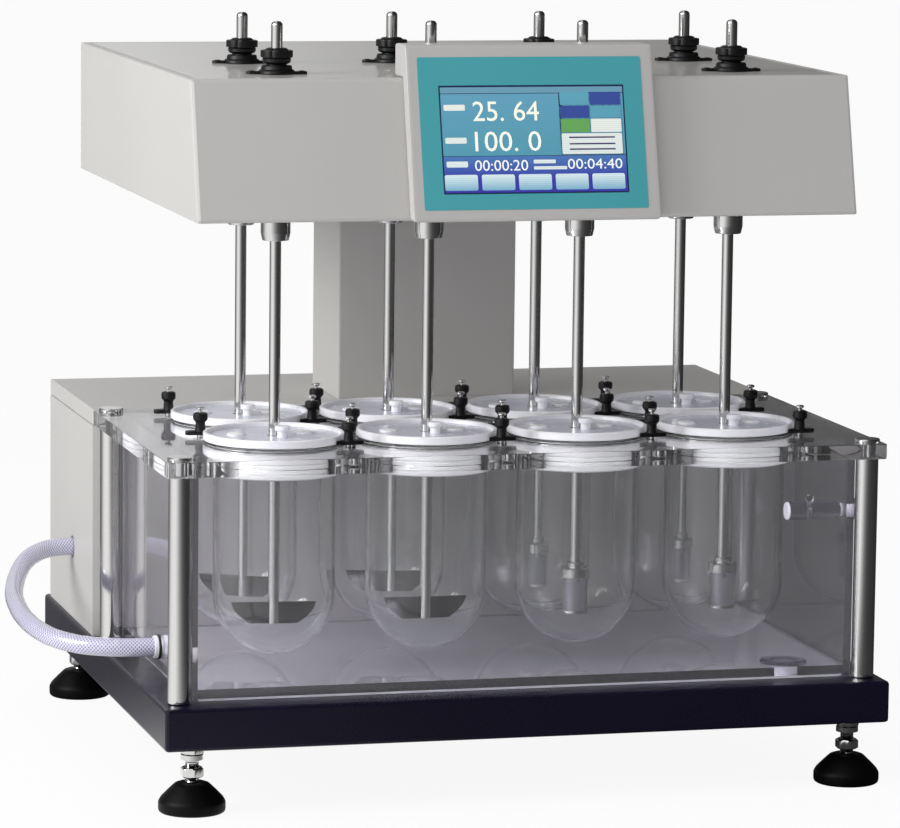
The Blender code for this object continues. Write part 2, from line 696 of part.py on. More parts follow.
def clamp_shape():
    """One vessel clamp at its own pin: a foot with two wings, hollowed round the lid, and a capped post."""
    sink = PLATE_TOP - PLATE_THICKNESS / 2
    half_length, half_width = CLAMP_FOOT_LENGTH / 2, CLAMP_FOOT_WIDTH / 2
    cap_low = PLATE_TOP + CLAMP_HEIGHT - CLAMP_CAP_HEIGHT
    cap_high = PLATE_TOP + CLAMP_HEIGHT
    clamp = rod("clamp_shape", CLAMP_BODY_RADIUS, sink, cap_high - CUT_OVERRUN, CLAMP_SIDES)
    foot = block("clamp_foot", (-half_length, -half_width, PLATE_TOP - SEAT_GAP),
                 (half_length, half_width, PLATE_TOP + CLAMP_FOOT_HEIGHT))
    to_vessel = (-CLAMP_REACH * math.cos(CLAMP_ANGLE), -CLAMP_REACH * math.sin(CLAMP_ANGLE))
    jaw = rod("clamp_jaw", LID_RADIUS + CLAMP_JAW_GAP, sink, PLATE_TOP + CLAMP_HEIGHT, VESSEL_SIDES * 2, to_vessel)
    cut(foot, jaw)
    foot = settle(foot)
    cap = rod("clamp_cap", CLAMP_CAP_RADIUS, cap_low, cap_high, CLAMP_SIDES)
    screw = rod("clamp_screw", CLAMP_SCREW_RADIUS, cap_high - CUT_OVERRUN, cap_high + CLAMP_SCREW_HEIGHT, CLAMP_SIDES)
    join(clamp, foot, cap, screw)
    return settle(clamp)


def make_plate():
    plate = block("vessel_plate", (-PLATE_WIDTH / 2, PLATE_FRONT_Y, PLATE_BOTTOM),
                  (PLATE_WIDTH / 2, PLATE_REAR_Y, PLATE_TOP))
    plate = round_edges(plate, PLATE_EDGE_RADIUS, 1)
    for number, place in enumerate(STATIONS, 1):
        radius = hole_radius(COLLAR_RADIUS, SEAT_GAP, VESSEL_SIDES)
        cut(plate, rod(f"vessel_hole_{number}", radius, PLATE_BOTTOM - CUT_OVERRUN, PLATE_TOP + CUT_OVERRUN,
                       VESSEL_SIDES, place))
    shape = clamp_shape()
    for number, (x, y) in enumerate(STATIONS, 1):
        for side, turn in (("rear", 0), ("front", math.pi)):
            angle = CLAMP_ANGLE + turn
            place = (x + CLAMP_REACH * math.cos(angle), y + CLAMP_REACH * math.sin(angle), 0)
            clamp = add_piece(f"clamp_{side}_{number}", shape.data, TOOLS, place)
            clamp.rotation_euler.z = turn
            join(plate, clamp)
    bpy.data.objects.remove(shape)
    return publish(settle(plate), ACRYLIC)


# Vessels and lids

def make_vessels():
    """Round-bottomed glass with a rim flange, and the centring collar that is bonded under the flange."""
    inner = VESSEL_RADIUS - VESSEL_WALL
    bowl_middle = VESSEL_BOTTOM + VESSEL_RADIUS
    collar_bottom = FLANGE_BOTTOM - COLLAR_DEPTH
    outer_bowl = arc((0, bowl_middle), (VESSEL_RADIUS, VESSEL_RADIUS), 0, -90, DOME_STEPS)
    inner_bowl = arc((0, bowl_middle), (inner, inner), -90, 0, DOME_STEPS)
    outer_bowl[-1] = (0, VESSEL_BOTTOM)
    inner_bowl[0] = (0, VESSEL_BOTTOM + VESSEL_WALL)
    outside = [(FLANGE_RADIUS, VESSEL_MOUTH), (FLANGE_RADIUS, FLANGE_BOTTOM), (COLLAR_RADIUS, FLANGE_BOTTOM),
               (COLLAR_RADIUS, collar_bottom), (VESSEL_RADIUS, collar_bottom)]
    profile = [*inner_bowl, (inner, VESSEL_MOUTH), *outside, *outer_bowl]
    vessel = turned("vessel_shape", profile, VESSEL_SIDES, closed=False)
    names = [f"vessel_{number}" for number in range(1, len(STATIONS) + 1)]
    return publish_copies(vessel, GLASS, names, STATIONS)


def make_lids():
    """White lid: raised rim, recessed floor, locating lip, shaft hole and a stopper beside the shaft."""
    hole = hole_radius(SHAFT_RADIUS, 2 * SLIDE_GAP, SHAFT_SIDES)
    top = LID_BOTTOM + LID_THICKNESS
    lip_outer = VESSEL_RADIUS - VESSEL_WALL - 2 * SLIDE_GAP
    lip_inner = lip_outer - LID_SKIN
    under = LID_FLOOR - LID_SKIN
    profile = [(hole, LID_FLOOR), (LID_RADIUS - LID_RIM, LID_FLOOR), (LID_RADIUS - LID_RIM, top),
               (LID_RADIUS, top), (LID_RADIUS, LID_BOTTOM), (lip_outer, LID_BOTTOM),
               (lip_outer, LID_BOTTOM - LID_LIP_DEPTH), (lip_inner, LID_BOTTOM - LID_LIP_DEPTH),
               (lip_inner, under), (hole, under)]
    lid = turned("lid_shape", profile, VESSEL_SIDES)
    spot = (STOPPER_OFFSET_X, STOPPER_OFFSET_Y)
    stopper_top = LID_FLOOR + STOPPER_HEIGHT
    stem = rod("stopper_stem", STOPPER_RADIUS, LID_FLOOR - LID_SKIN / 2, stopper_top - STOPPER_CAP / 2,
               CLAMP_SIDES, spot)
    cap = rod("stopper_cap", STOPPER_CAP_RADIUS, stopper_top - STOPPER_CAP, stopper_top, CLAMP_SIDES, spot)
    join(lid, stem, cap)
    names = [f"vessel_lid_{number}" for number in range(1, len(STATIONS) + 1)]
    return publish_copies(lid, WHITE, names, STATIONS)


# Stirring shafts

PADDLE_STATIONS = (0, 1, COLUMNS, COLUMNS + 1)
BASKET_STATIONS = (2, 3, COLUMNS + 2, COLUMNS + 3)


def shaft_profile(bottom_points):
    return [(0, SHAFT_TOP), (SHAFT_TIP_RADIUS, SHAFT_TOP), (SHAFT_RADIUS, SHAFT_TOP - SHAFT_TIP), *bottom_points]


def make_paddles():
    """Shaft with a flat blade across its end. The blade's ends bulge outward as they narrow downward."""
    shaft = turned("paddle_shape", shaft_profile([(SHAFT_RADIUS, STIRRER_BOTTOM), (0, STIRRER_BOTTOM)]),
                   SHAFT_SIDES, closed=False)
    low, high = STIRRER_BOTTOM, STIRRER_BOTTOM + PADDLE_HEIGHT
    right = []
    for step in range(DOME_STEPS):
        share = step / (DOME_STEPS - 1)
        bulge = PADDLE_SIDE_BULGE * math.sin(math.pi * share)
        half = (PADDLE_BOTTOM_WIDTH + (PADDLE_TOP_WIDTH - PADDLE_BOTTOM_WIDTH) * share) / 2
        right.append((half + bulge, low + (high - low) * share))
    left = [(-x, z) for x, z in reversed(right)]
    blade = front_shape("paddle_blade", right + left, -PADDLE_THICKNESS / 2, PADDLE_THICKNESS / 2)
    join(shaft, blade)
    names = [f"paddle_shaft_{number}" for number in range(1, len(PADDLE_STATIONS) + 1)]
    places = [STATIONS[index] for index in PADDLE_STATIONS]
    turns = [math.radians(angle) for angle in PADDLE_TURN_DEGREES]
    return publish_copies(shaft, STEEL, names, places, turns)


def make_baskets():
    cap_low = STIRRER_BOTTOM + BASKET_HEIGHT
    cap_high = cap_low + BASKET_CAP_HEIGHT
    neck_high = cap_high + BASKET_NECK_HEIGHT
    rim = STIRRER_BOTTOM + BASKET_BOTTOM_RIM
    profile = shaft_profile([
        (SHAFT_RADIUS, neck_high), (BASKET_NECK_RADIUS, neck_high), (BASKET_NECK_RADIUS, cap_high),
        (BASKET_CAP_RADIUS, cap_high), (BASKET_CAP_RADIUS, cap_low), (BASKET_RADIUS, cap_low),
        (BASKET_RADIUS, rim), (BASKET_RADIUS, STIRRER_BOTTOM), (0, STIRRER_BOTTOM)])
    basket = turned("basket_shape", profile, SPINDLE_SIDES, closed=False)
    names = [f"basket_shaft_{number}" for number in range(1, len(BASKET_STATIONS) + 1)]
    places = [STATIONS[index] for index in BASKET_STATIONS]
    return publish_copies(basket, STEEL, names, places)


def make_spindles():
    """Hollow drive spindle: clutch knob on top, belt pulley inside the head, ferrule underneath."""
    bore = hole_radius(SHAFT_RADIUS, SLIDE_GAP, SPINDLE_SIDES)
    knob_low = HEAD_TOP + BEARING_HEIGHT + SEAT_GAP + KNOB_NECK
    cone_top = knob_low + KNOB_CONE
    grip_top = cone_top + KNOB_GRIP
    crown = grip_top + KNOB_DOME
    pulley_low, pulley_high = PULLEY_MIDDLE - PULLEY_HEIGHT / 2, PULLEY_MIDDLE + PULLEY_HEIGHT / 2
    ferrule_top = HEAD_BOTTOM - SEAT_GAP
    ferrule_low = ferrule_top - FERRULE_HEIGHT
    profile = [(bore, crown), (KNOB_CROWN_RADIUS, crown), (KNOB_RADIUS, grip_top), (KNOB_RADIUS, cone_top),
               (KNOB_WAIST_RADIUS, knob_low), (SPINDLE_RADIUS, knob_low), (SPINDLE_RADIUS, pulley_high),
               (PULLEY_RADIUS, pulley_high), (PULLEY_RADIUS, pulley_low), (SPINDLE_RADIUS, pulley_low),
               (SPINDLE_RADIUS, ferrule_top), (FERRULE_RADIUS, ferrule_top),
               (FERRULE_RADIUS, ferrule_low + FERRULE_TAPER), (FERRULE_END_RADIUS, ferrule_low),
               (bore, ferrule_low)]
    spindle = turned("spindle_shape", profile, SPINDLE_SIDES)
    names = [f"drive_spindle_{number}" for number in range(1, len(STATIONS) + 1)]
    return publish_copies(spindle, STEEL, names, STATIONS)


# Head

def head_front_y(height, stand_off=0):
    """Y of the leaning front face at a height, or of a plane in front of it."""
    return HEAD_FRONT_BOTTOM_Y + HEAD_LEAN_SLOPE * (height - HEAD_BOTTOM) - stand_off


def make_housing():
    half = HEAD_WIDTH / 2
    outline = [(HEAD_FRONT_BOTTOM_Y, HEAD_BOTTOM), (HEAD_REAR_Y, HEAD_BOTTOM), (HEAD_REAR_Y, HEAD_TOP),
               (HEAD_FRONT_TOP_Y, HEAD_TOP)]
    housing = round_edges(side_shape("head_housing", outline, -half, half), HEAD_EDGE_RADIUS)
    seat = HEAD_TOP - COVER_THICKNESS - SEAT_GAP
    ceiling = seat - HEAD_SKIN
    skin = HEAD_SKIN / math.cos(HEAD_LEAN_ANGLE)
    inside = [(head_front_y(HEAD_FLOOR_TOP) + skin, HEAD_FLOOR_TOP), (HEAD_REAR_Y - HEAD_SKIN, HEAD_FLOOR_TOP),
              (HEAD_REAR_Y - HEAD_SKIN, ceiling), (head_front_y(ceiling) + skin, ceiling)]
    cavity = side_shape("head_cavity", inside, HEAD_SKIN - half, half - HEAD_SKIN)
    ledge = COVER_INSET + COVER_LEDGE
    opening = block("head_opening", (ledge - half, HEAD_FRONT_TOP_Y + ledge, ceiling - CUT_OVERRUN),
                    (half - ledge, HEAD_REAR_Y - ledge, HEAD_TOP + CUT_OVERRUN))
    rebate = block("head_rebate", (COVER_INSET - half, HEAD_FRONT_TOP_Y + COVER_INSET, seat),
                   (half - COVER_INSET, HEAD_REAR_Y - COVER_INSET, HEAD_TOP + CUT_OVERRUN))
    cut(housing, cavity, opening, rebate)
    for number, place in enumerate(STATIONS, 1):
        cut(housing, rod(f"floor_hole_{number}", SPINDLE_HOLE_RADIUS, HEAD_BOTTOM - CUT_OVERRUN,
                         HEAD_FLOOR_TOP + CUT_OVERRUN, SPINDLE_SIDES, place))
    return publish(settle(housing), PAINT)


def make_cover():
    """Top cover of the head, with the eight eared bearing flanges that are screwed to it."""
    side = HEAD_WIDTH / 2 - COVER_INSET - SLIDE_GAP
    front = HEAD_FRONT_TOP_Y + COVER_INSET + SLIDE_GAP
    rear = HEAD_REAR_Y - COVER_INSET - SLIDE_GAP
    low = HEAD_TOP - COVER_THICKNESS
    cover = block("head_cover", (-side, front, low), (side, rear, HEAD_TOP))
    sunk = HEAD_TOP - COVER_THICKNESS / 2
    for number, place in enumerate(STATIONS, 1):
        bearing = rod(f"bearing_{number}", BEARING_RADIUS, sunk, HEAD_TOP + BEARING_HEIGHT, SPINDLE_SIDES, place)
        half_length, half_width = BEARING_EAR_LENGTH / 2, BEARING_EAR_WIDTH / 2
        ears = block(f"bearing_ears_{number}", (-half_length, -half_width, sunk),
                     (half_length, half_width, HEAD_TOP + BEARING_EAR_HEIGHT))
        ears.location = (*place, 0)
        ears.rotation_euler.z = BEARING_TURN
        join(cover, bearing, ears)
    for number, place in enumerate(STATIONS, 1):
        cut(cover, rod(f"cover_hole_{number}", SPINDLE_HOLE_RADIUS, low - CUT_OVERRUN,
                       HEAD_TOP + BEARING_HEIGHT + CUT_OVERRUN, SPINDLE_SIDES, place))
    return publish(settle(cover), PAINT)


def on_front_face(x, rise, stand_off):
    """Frame on the panel's front: X across, Y up the leaning face, Z out of it."""
    height = HEAD_BOTTOM + rise
    place = Matrix.Translation((x, head_front_y(height, stand_off), height))
    return place @ Matrix.Rotation(math.pi / 2 - HEAD_LEAN_ANGLE, 4, "X")


PANEL_HEIGHT = HEAD_HEIGHT + BEZEL_RISE
SCREEN_FRAME = on_front_face(0, PANEL_HEIGHT * SCREEN_RISE_SHARE, BEZEL_STAND_OFF)


def screen_block(name, grow, low, high):
    """A box on the panel's front face, as large as the screen and a margin."""
    half_x, half_y = SCREEN_WIDTH / 2 + grow, SCREEN_HEIGHT / 2 + grow
    piece = block(name, (-half_x, -half_y, low), (half_x, half_y, high))
    piece.data.transform(SCREEN_FRAME)
    return piece


def make_bezel():
    half = BEZEL_WIDTH / 2
    top = HEAD_TOP + BEZEL_RISE
    step = HEAD_TOP + SEAT_GAP
    outline = [
        (head_front_y(HEAD_BOTTOM, BEZEL_STAND_OFF), HEAD_BOTTOM), (head_front_y(HEAD_BOTTOM, SLIDE_GAP), HEAD_BOTTOM),
        (head_front_y(step, SLIDE_GAP), step), (head_front_y(top, BEZEL_STAND_OFF) + BEZEL_TOP_DEPTH, step),
        (head_front_y(top, BEZEL_STAND_OFF) + BEZEL_TOP_DEPTH, top), (head_front_y(top, BEZEL_STAND_OFF), top)]
    bezel = round_edges(side_shape("panel_bezel", outline, -half, half), BEZEL_EDGE_RADIUS)
    cut(bezel, screen_block("screen_pocket", SLIDE_GAP, -SCREEN_THICKNESS - SEAT_GAP, CUT_OVERRUN))
    return publish(settle(bezel), PAINT)


def make_screen():
    screen = screen_block("touch_screen", 0, -SCREEN_THICKNESS, SCREEN_PROUD)
    return publish(screen, SCREEN)


MOTOR_X = 0
MOTOR_Y = ROW_YS[1]
MOTOR_BOTTOM = HEAD_FLOOR_TOP + SEAT_GAP
MOTOR_TOP = PULLEY_MIDDLE - PULLEY_HEIGHT / 2 - MOTOR_CLEARANCE


def make_motor():
    """Motor that stands on the head's floor, with a bore for its rotor's shaft."""
    half = MOTOR_FLANGE_WIDTH / 2
    motor = block("drive_motor", (-half, -half, MOTOR_BOTTOM), (half, half, MOTOR_BOTTOM + MOTOR_FLANGE_HEIGHT))
    body = rod("motor_body", MOTOR_RADIUS, MOTOR_BOTTOM + MOTOR_FLANGE_HEIGHT / 2, MOTOR_TOP, VESSEL_SIDES)
    bore = rod("motor_bore", hole_radius(MOTOR_SHAFT_RADIUS, SLIDE_GAP, SPINDLE_SIDES),
               MOTOR_TOP - MOTOR_SHAFT_REACH, MOTOR_TOP + CUT_OVERRUN, SPINDLE_SIDES)
    join(motor, body)
    cut(motor, bore)
    motor.location = (MOTOR_X, MOTOR_Y, 0)
    for helper in (body, bore):
        helper.location = motor.location
    return publish(settle(motor), MOTOR)


def make_motor_pulley():
    """The motor's turning shaft, with the pulley that drives the belt."""
    low, high = PULLEY_MIDDLE - PULLEY_HEIGHT / 2, PULLEY_MIDDLE + PULLEY_HEIGHT / 2
    shaft_low = MOTOR_TOP - MOTOR_SHAFT_REACH + CUT_OVERRUN
    profile = [(0, high), (PULLEY_RADIUS, high), (PULLEY_RADIUS, low), (MOTOR_SHAFT_RADIUS, low),
               (MOTOR_SHAFT_RADIUS, shaft_low), (0, shaft_low)]
    pulley = turned("motor_pulley", profile, SPINDLE_SIDES, closed=False)
    pulley.location = (MOTOR_X, MOTOR_Y, 0)
    return publish(pulley, STEEL)


def belt_outline(radius):
    """Rounded rectangle round the pulleys at the four corners of the stirring places."""
    corners = ((COLUMN_XS[-1], ROW_YS[1], 0), (COLUMN_XS[0], ROW_YS[1], 90),
               (COLUMN_XS[0], ROW_YS[0], 180), (COLUMN_XS[-1], ROW_YS[0], 270))
    points = []
    for x, y, start in corners:
        points += arc((x, y), (radius, radius), start, start + 90, BELT_CORNER_STEPS)
    return points


def make_belt():
    inner = PULLEY_RADIUS / math.cos(math.pi / BELT_CORNER_STEPS / 4) + SEAT_GAP
    belt = plate_shape("drive_belt", [belt_outline(inner + BELT_THICKNESS), belt_outline(inner)],
                       PULLEY_MIDDLE - BELT_HEIGHT / 2, PULLEY_MIDDLE + BELT_HEIGHT / 2)
    return publish(belt, BLACK)


# Lift column, mast and cabinet

def column_block(name, grow, low, high):
    """A box round the column's axis, as wide and deep as the column plus a margin on each side."""
    half_x, half_y = COLUMN_WIDTH / 2 + grow, COLUMN_DEPTH / 2 + grow
    return block(name, (-half_x, COLUMN_Y - half_y, low), (half_x, COLUMN_Y + half_y, high))


MAST_FOOT_TOP = CABINET_FLOOR_TOP + SEAT_GAP + MAST_FLANGE


def make_mast():
    low = CABINET_FLOOR_TOP + SEAT_GAP
    half_x, half_y = MAST_WIDTH / 2, MAST_DEPTH / 2
    mast = block("lift_mast", (-half_x, COLUMN_Y - half_y, low),
                 (half_x, COLUMN_Y + half_y, HEAD_BOTTOM - MAST_TOP_GAP))
    foot = column_block("mast_foot", 0, low, MAST_FOOT_TOP)
    guide_top = CABINET_TOP - GUIDE_DROP
    guide = column_block("mast_guide", -COLUMN_WALL - SLIDE_GAP, guide_top - GUIDE_HEIGHT, guide_top)
    join(mast, foot, guide)
    return publish(settle(mast), STEEL)


def make_column():
    low, high = MAST_FOOT_TOP + SEAT_GAP, HEAD_BOTTOM - SEAT_GAP
    column = round_edges(column_block("lift_column", 0, low, high), CABINET_EDGE_RADIUS / 2)
    cut(column, column_block("column_bore", -COLUMN_WALL, low - CUT_OVERRUN, high + CUT_OVERRUN))
    return publish(settle(column), PAINT)


def make_cabinet():
    half = CABINET_WIDTH / 2
    cabinet = block("rear_cabinet", (-half, CABINET_FRONT_Y, CABINET_BOTTOM), (half, CABINET_REAR_Y, CABINET_BODY_TOP))
    inside = block("cabinet_inside", (CABINET_WALL - half, CABINET_FRONT_Y + CABINET_WALL, CABINET_FLOOR_TOP),
                   (half - CABINET_WALL, CABINET_REAR_Y - CABINET_WALL, CABINET_BODY_TOP + CUT_OVERRUN))
    hose_hole = rod("cabinet_hose_hole", HOSE_HOLE_RADIUS, -CUT_OVERRUN, CABINET_WALL + CUT_OVERRUN, SPINDLE_SIDES)
    lay_along_x(hose_hole, CABINET_WALL - half, HOSE_PORT_Y, HOSE_PORT_Z)
    cut(cabinet, inside, hose_hole, module_block("module_hole", SLIDE_GAP, CABINET_REAR_Y - CABINET_WALL - CUT_OVERRUN,
                                                 CABINET_REAR_Y + CUT_OVERRUN))
    return publish(settle(cabinet), PAINT)


def make_cabinet_cover():
    half = CABINET_WIDTH / 2
    low = CABINET_BODY_TOP + SEAT_GAP
    cover = block("cabinet_cover", (-half, CABINET_FRONT_Y, low), (half, CABINET_REAR_Y, CABINET_TOP))
    cover = round_edges(cover, CABINET_EDGE_RADIUS / 4, 1)
    inside = block("cover_inside", (CABINET_COVER_SKIN - half, CABINET_FRONT_Y + CABINET_COVER_SKIN, low - CUT_OVERRUN),
                   (half - CABINET_COVER_SKIN, CABINET_REAR_Y - CABINET_COVER_SKIN, CABINET_TOP - CABINET_COVER_SKIN))
    slot = column_block("cover_slot", 2 * SLIDE_GAP, low - CUT_OVERRUN, CABINET_TOP + CUT_OVERRUN)
    cut(cover, inside, slot)
    return publish(settle(cover), PAINT)


# Mains module

def module_block(name, grow, low, high):
    """A box round the module's body, between two values of Y."""
    half_x = MODULE_WIDTH / 2 - MODULE_BODY_MARGIN + grow
    half_z = MODULE_HEIGHT / 2 - MODULE_BODY_MARGIN + grow
    return block(name, (MODULE_X - half_x, low, MODULE_Z - half_z), (MODULE_X + half_x, high, MODULE_Z + half_z))


ROCKER_X = MODULE_X - ROCKER_OFFSET
FLANGE_FACE_Y = CABINET_REAR_Y + SEAT_GAP + MODULE_FLANGE
ROCKER_Y = FLANGE_FACE_Y + ROCKER_PROUD - ROCKER_DEPTH / 2


def rocker_pin(name, radius, clearance):
    """A pin right through the rocker along X, about its own middle."""
    half = ROCKER_WIDTH / 2 + ROCKER_PIN_LENGTH + clearance
    return lay_along_x(rod(name, radius, -half, half, CLAMP_SIDES), 0, 0, 0)


def pocket(name, x, width, height, depth):
    return block(name, (x - width / 2, FLANGE_FACE_Y - depth, MODULE_Z - height / 2),
                 (x + width / 2, FLANGE_FACE_Y + CUT_OVERRUN, MODULE_Z + height / 2))


def make_module():
    """Socket for the mains lead and the frame of the rocker switch, in one flanged body."""
    half_x, half_z = MODULE_WIDTH / 2, MODULE_HEIGHT / 2
    flange = block("power_inlet", (MODULE_X - half_x, CABINET_REAR_Y + SEAT_GAP, MODULE_Z - half_z),
                   (MODULE_X + half_x, FLANGE_FACE_Y, MODULE_Z + half_z))
    body = module_block("module_body", 0, CABINET_REAR_Y - MODULE_DEPTH, CABINET_REAR_Y + MODULE_FLANGE / 2)
    join(flange, body)
    socket = pocket("socket_pocket", MODULE_X + SOCKET_OFFSET, SOCKET_WIDTH, SOCKET_HEIGHT, SOCKET_DEPTH)
    rocker = pocket("rocker_pocket", ROCKER_X, ROCKER_WIDTH + 2 * ROCKER_GAP, ROCKER_HEIGHT + 2 * ROCKER_GAP,
                    ROCKER_DEPTH + 2 * ROCKER_GAP)
    hole = rocker_pin("rocker_pin_hole", hole_radius(ROCKER_PIN_RADIUS, SEAT_GAP, CLAMP_SIDES), SEAT_GAP)
    hole.location = (ROCKER_X, ROCKER_Y, MODULE_Z)
    cut(flange, socket, rocker, hole)
    return publish(settle(flange), BLACK)


def make_rocker():
    """Rocker that tilts about X. It rests with its lower half pressed, which is off."""
    half_x, half_z = ROCKER_WIDTH / 2, ROCKER_HEIGHT / 2
    outline = [(ROCKER_DEPTH / 2, -half_z), (ROCKER_DEPTH / 2, half_z), (-ROCKER_DEPTH / 2, half_z / 2),
               (-ROCKER_DEPTH / 2, -half_z / 2)]
    rocker = side_shape("power_switch", outline, -half_x, half_x)
    join(rocker, rocker_pin("rocker_pin", ROCKER_PIN_RADIUS, 0))
    rocker = settle(rocker)
    rocker.location = (ROCKER_X, ROCKER_Y, MODULE_Z)
    rocker.rotation_euler.x = -ROCKER_HALF_THROW
    return publish(rocker, BLACK)


# Circulation pump and hose

PUMP_PORT_X = -CABINET_WIDTH / 2 + CABINET_WALL + HOSE_STRAIGHT
FITTING_FACE_X = -TANK_WIDTH / 2 - SEAT_GAP - FITTING_FLANGE_LENGTH - FITTING_COLLAR_LENGTH


def make_pump():
    """Heater and circulation pump: a horizontal body on a stand, with its port towards the hose."""
    port_end = PUMP_LENGTH + PUMP_PORT_LENGTH
    profile = [(0, port_end), (PUMP_PORT_RADIUS, port_end), (PUMP_PORT_RADIUS, PUMP_LENGTH),
               (PUMP_RADIUS, PUMP_LENGTH), (PUMP_RADIUS, 0), (0, 0)]
    pump = turned("circulation_pump", profile, PUMP_SIDES, closed=False)
    rear_x = PUMP_PORT_X + port_end
    lay_along_x(pump, rear_x, HOSE_PORT_Y, HOSE_PORT_Z)
    half = PUMP_STAND_WIDTH / 2
    stand = block("pump_stand", (PUMP_PORT_X + PUMP_PORT_LENGTH * 2, HOSE_PORT_Y - half, CABINET_FLOOR_TOP + SEAT_GAP),
                  (rear_x - PUMP_PORT_LENGTH, HOSE_PORT_Y + half, HOSE_PORT_Z))
    join(pump, stand)
    return publish(settle(pump), MOTOR)


def make_hose():
    inside = Vector((PUMP_PORT_X - SEAT_GAP, HOSE_PORT_Y, HOSE_PORT_Z))
    end = Vector((FITTING_FACE_X - SEAT_GAP, FITTING_Y, FITTING_Z))
    straight = Vector((HOSE_STRAIGHT, 0, 0))
    route = [inside, inside - straight, *HOSE_ROUTE, end - straight, end]
    curve = bpy.data.curves.new("circulation_hose", "CURVE")
    curve.dimensions = "3D"
    curve.bevel_depth = HOSE_RADIUS
    curve.bevel_resolution = 2
    curve.use_fill_caps = True
    spline = curve.splines.new("POLY")
    spline.points.add(len(route) - 1)
    for point, place in zip(spline.points, route):
        point.co = (*place, 1)
    hose = settle(add_piece("circulation_hose", curve, TOOLS))
    return publish(hose, HOSE)


# Assembly

def build():
    make_base()
    make_feet()
    make_tank()
    make_tank_fitting()
    make_sensor()
    make_posts()
    make_plate()
    make_vessels()
    make_cabinet()
    make_cabinet_cover()
    make_module()
    make_rocker()
    make_pump()
    make_hose()
    make_mast()
    head = joint_empty("head_lift", (0, COLUMN_Y, HEAD_BOTTOM))
    head_pieces = [make_column(), make_housing(), make_cover(), make_bezel(), make_screen(), make_motor(),
                   make_motor_pulley(), make_belt(), *make_lids(), *make_paddles(), *make_baskets(), *make_spindles()]
    for piece in head_pieces:
        hang(piece, head)
    triangles = 0
    for piece in PARTS.objects:
        piece.data.calc_loop_triangles()
        triangles += len(piece.data.loop_triangles)
    print(f"{len(PARTS.objects)} pieces, {triangles} triangles")


build()
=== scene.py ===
# %% [markdown]
# # Dressing a tablet dissolution tester
# The tester stirs tablets in eight glass vessels that hang in a clear water bath. Its working parts
# come as a fixed CAD frame. This script gives them their looks: it keeps the sheet-metal housings,
# and puts finer pieces in the place of the glass, the lids, the shafts, the feet and the panel.

# %% Load the frame
import math

import bmesh
import bpy
from mathutils import Matrix, Vector


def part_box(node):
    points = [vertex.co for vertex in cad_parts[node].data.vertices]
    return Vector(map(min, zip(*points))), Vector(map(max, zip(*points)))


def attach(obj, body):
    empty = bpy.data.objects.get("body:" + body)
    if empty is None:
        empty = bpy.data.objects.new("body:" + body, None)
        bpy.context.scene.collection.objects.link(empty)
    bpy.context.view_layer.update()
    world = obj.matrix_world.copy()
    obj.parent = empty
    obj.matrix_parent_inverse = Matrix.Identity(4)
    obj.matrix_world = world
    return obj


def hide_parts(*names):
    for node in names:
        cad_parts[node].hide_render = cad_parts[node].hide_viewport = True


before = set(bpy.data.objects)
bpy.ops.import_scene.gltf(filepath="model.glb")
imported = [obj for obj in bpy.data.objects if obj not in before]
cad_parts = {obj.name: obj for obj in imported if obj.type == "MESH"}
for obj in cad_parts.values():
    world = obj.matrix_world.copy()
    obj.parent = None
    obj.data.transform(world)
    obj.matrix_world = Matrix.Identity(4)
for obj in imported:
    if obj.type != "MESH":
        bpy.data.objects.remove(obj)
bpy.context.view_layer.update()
FULL_TURN = 2 * math.pi


def placed(item):
    bpy.context.scene.collection.objects.link(item)
    return item


# %% [markdown]
# ## Camera
# The photograph was taken from the front left, a little above the bath, with a long lens. The
# camera is given as the place and the three turns that put the plinth, the plate and the head on
# the same spots as in the photograph.

# %% Place the camera
CAMERA_PLACE = (-1.13966, -4.27314, 0.91249)
CAMERA_YAW = math.radians(14.9146)
CAMERA_DIP = math.radians(7.8818)
CAMERA_ROLL = math.radians(0.6662)
PICTURE_WIDTH = 900
FOCAL_PIXELS = 4880.69
SENSOR_WIDTH = 36

to_camera = (Matrix.Rotation(CAMERA_ROLL, 3, "Y") @ Matrix.Rotation(CAMERA_DIP, 3, "X")
             @ Matrix.Rotation(CAMERA_YAW, 3, "Z"))
right, ahead, up = to_camera.row
camera_turn = Matrix((right, up, -ahead)).transposed().to_4x4()
camera = placed(bpy.data.objects.new("camera", bpy.data.cameras.new("camera")))
camera.data.sensor_width = SENSOR_WIDTH
camera.data.lens = FOCAL_PIXELS / PICTURE_WIDTH * SENSOR_WIDTH
camera.matrix_world = Matrix.Translation(CAMERA_PLACE) @ camera_turn
bpy.context.scene.camera = camera
print("lens in mm", round(camera.data.lens, 1))

# %% [markdown]
# ## A way to write shader maths
# Node trees are easier to read as sums. A Wire wraps one output socket, and each operator adds the
# Math node that it names. A Finish is one material: every other node comes from its one method,
# which takes the node's type, its settings and the values or wires for its sockets.

# %% Shader helpers
WHITE = (1, 1, 1, 1)


class Wire:
    """One output socket, ready for sums."""

    def __init__(self, finish, socket):
        self.finish = finish
        self.socket = socket

    def maths(self, operation, *values):
        settings = {"operation": operation}
        return self.finish.node("ShaderNodeMath", settings, dict(enumerate(values)))

    def __add__(self, other):
        return self.maths("ADD", self, other)

    def __sub__(self, other):
        return self.maths("SUBTRACT", self, other)

    def __rsub__(self, other):
        return self.maths("SUBTRACT", other, self)

    def __mul__(self, other):
        return self.maths("MULTIPLY", self, other)

    __radd__ = __add__
    __rmul__ = __mul__


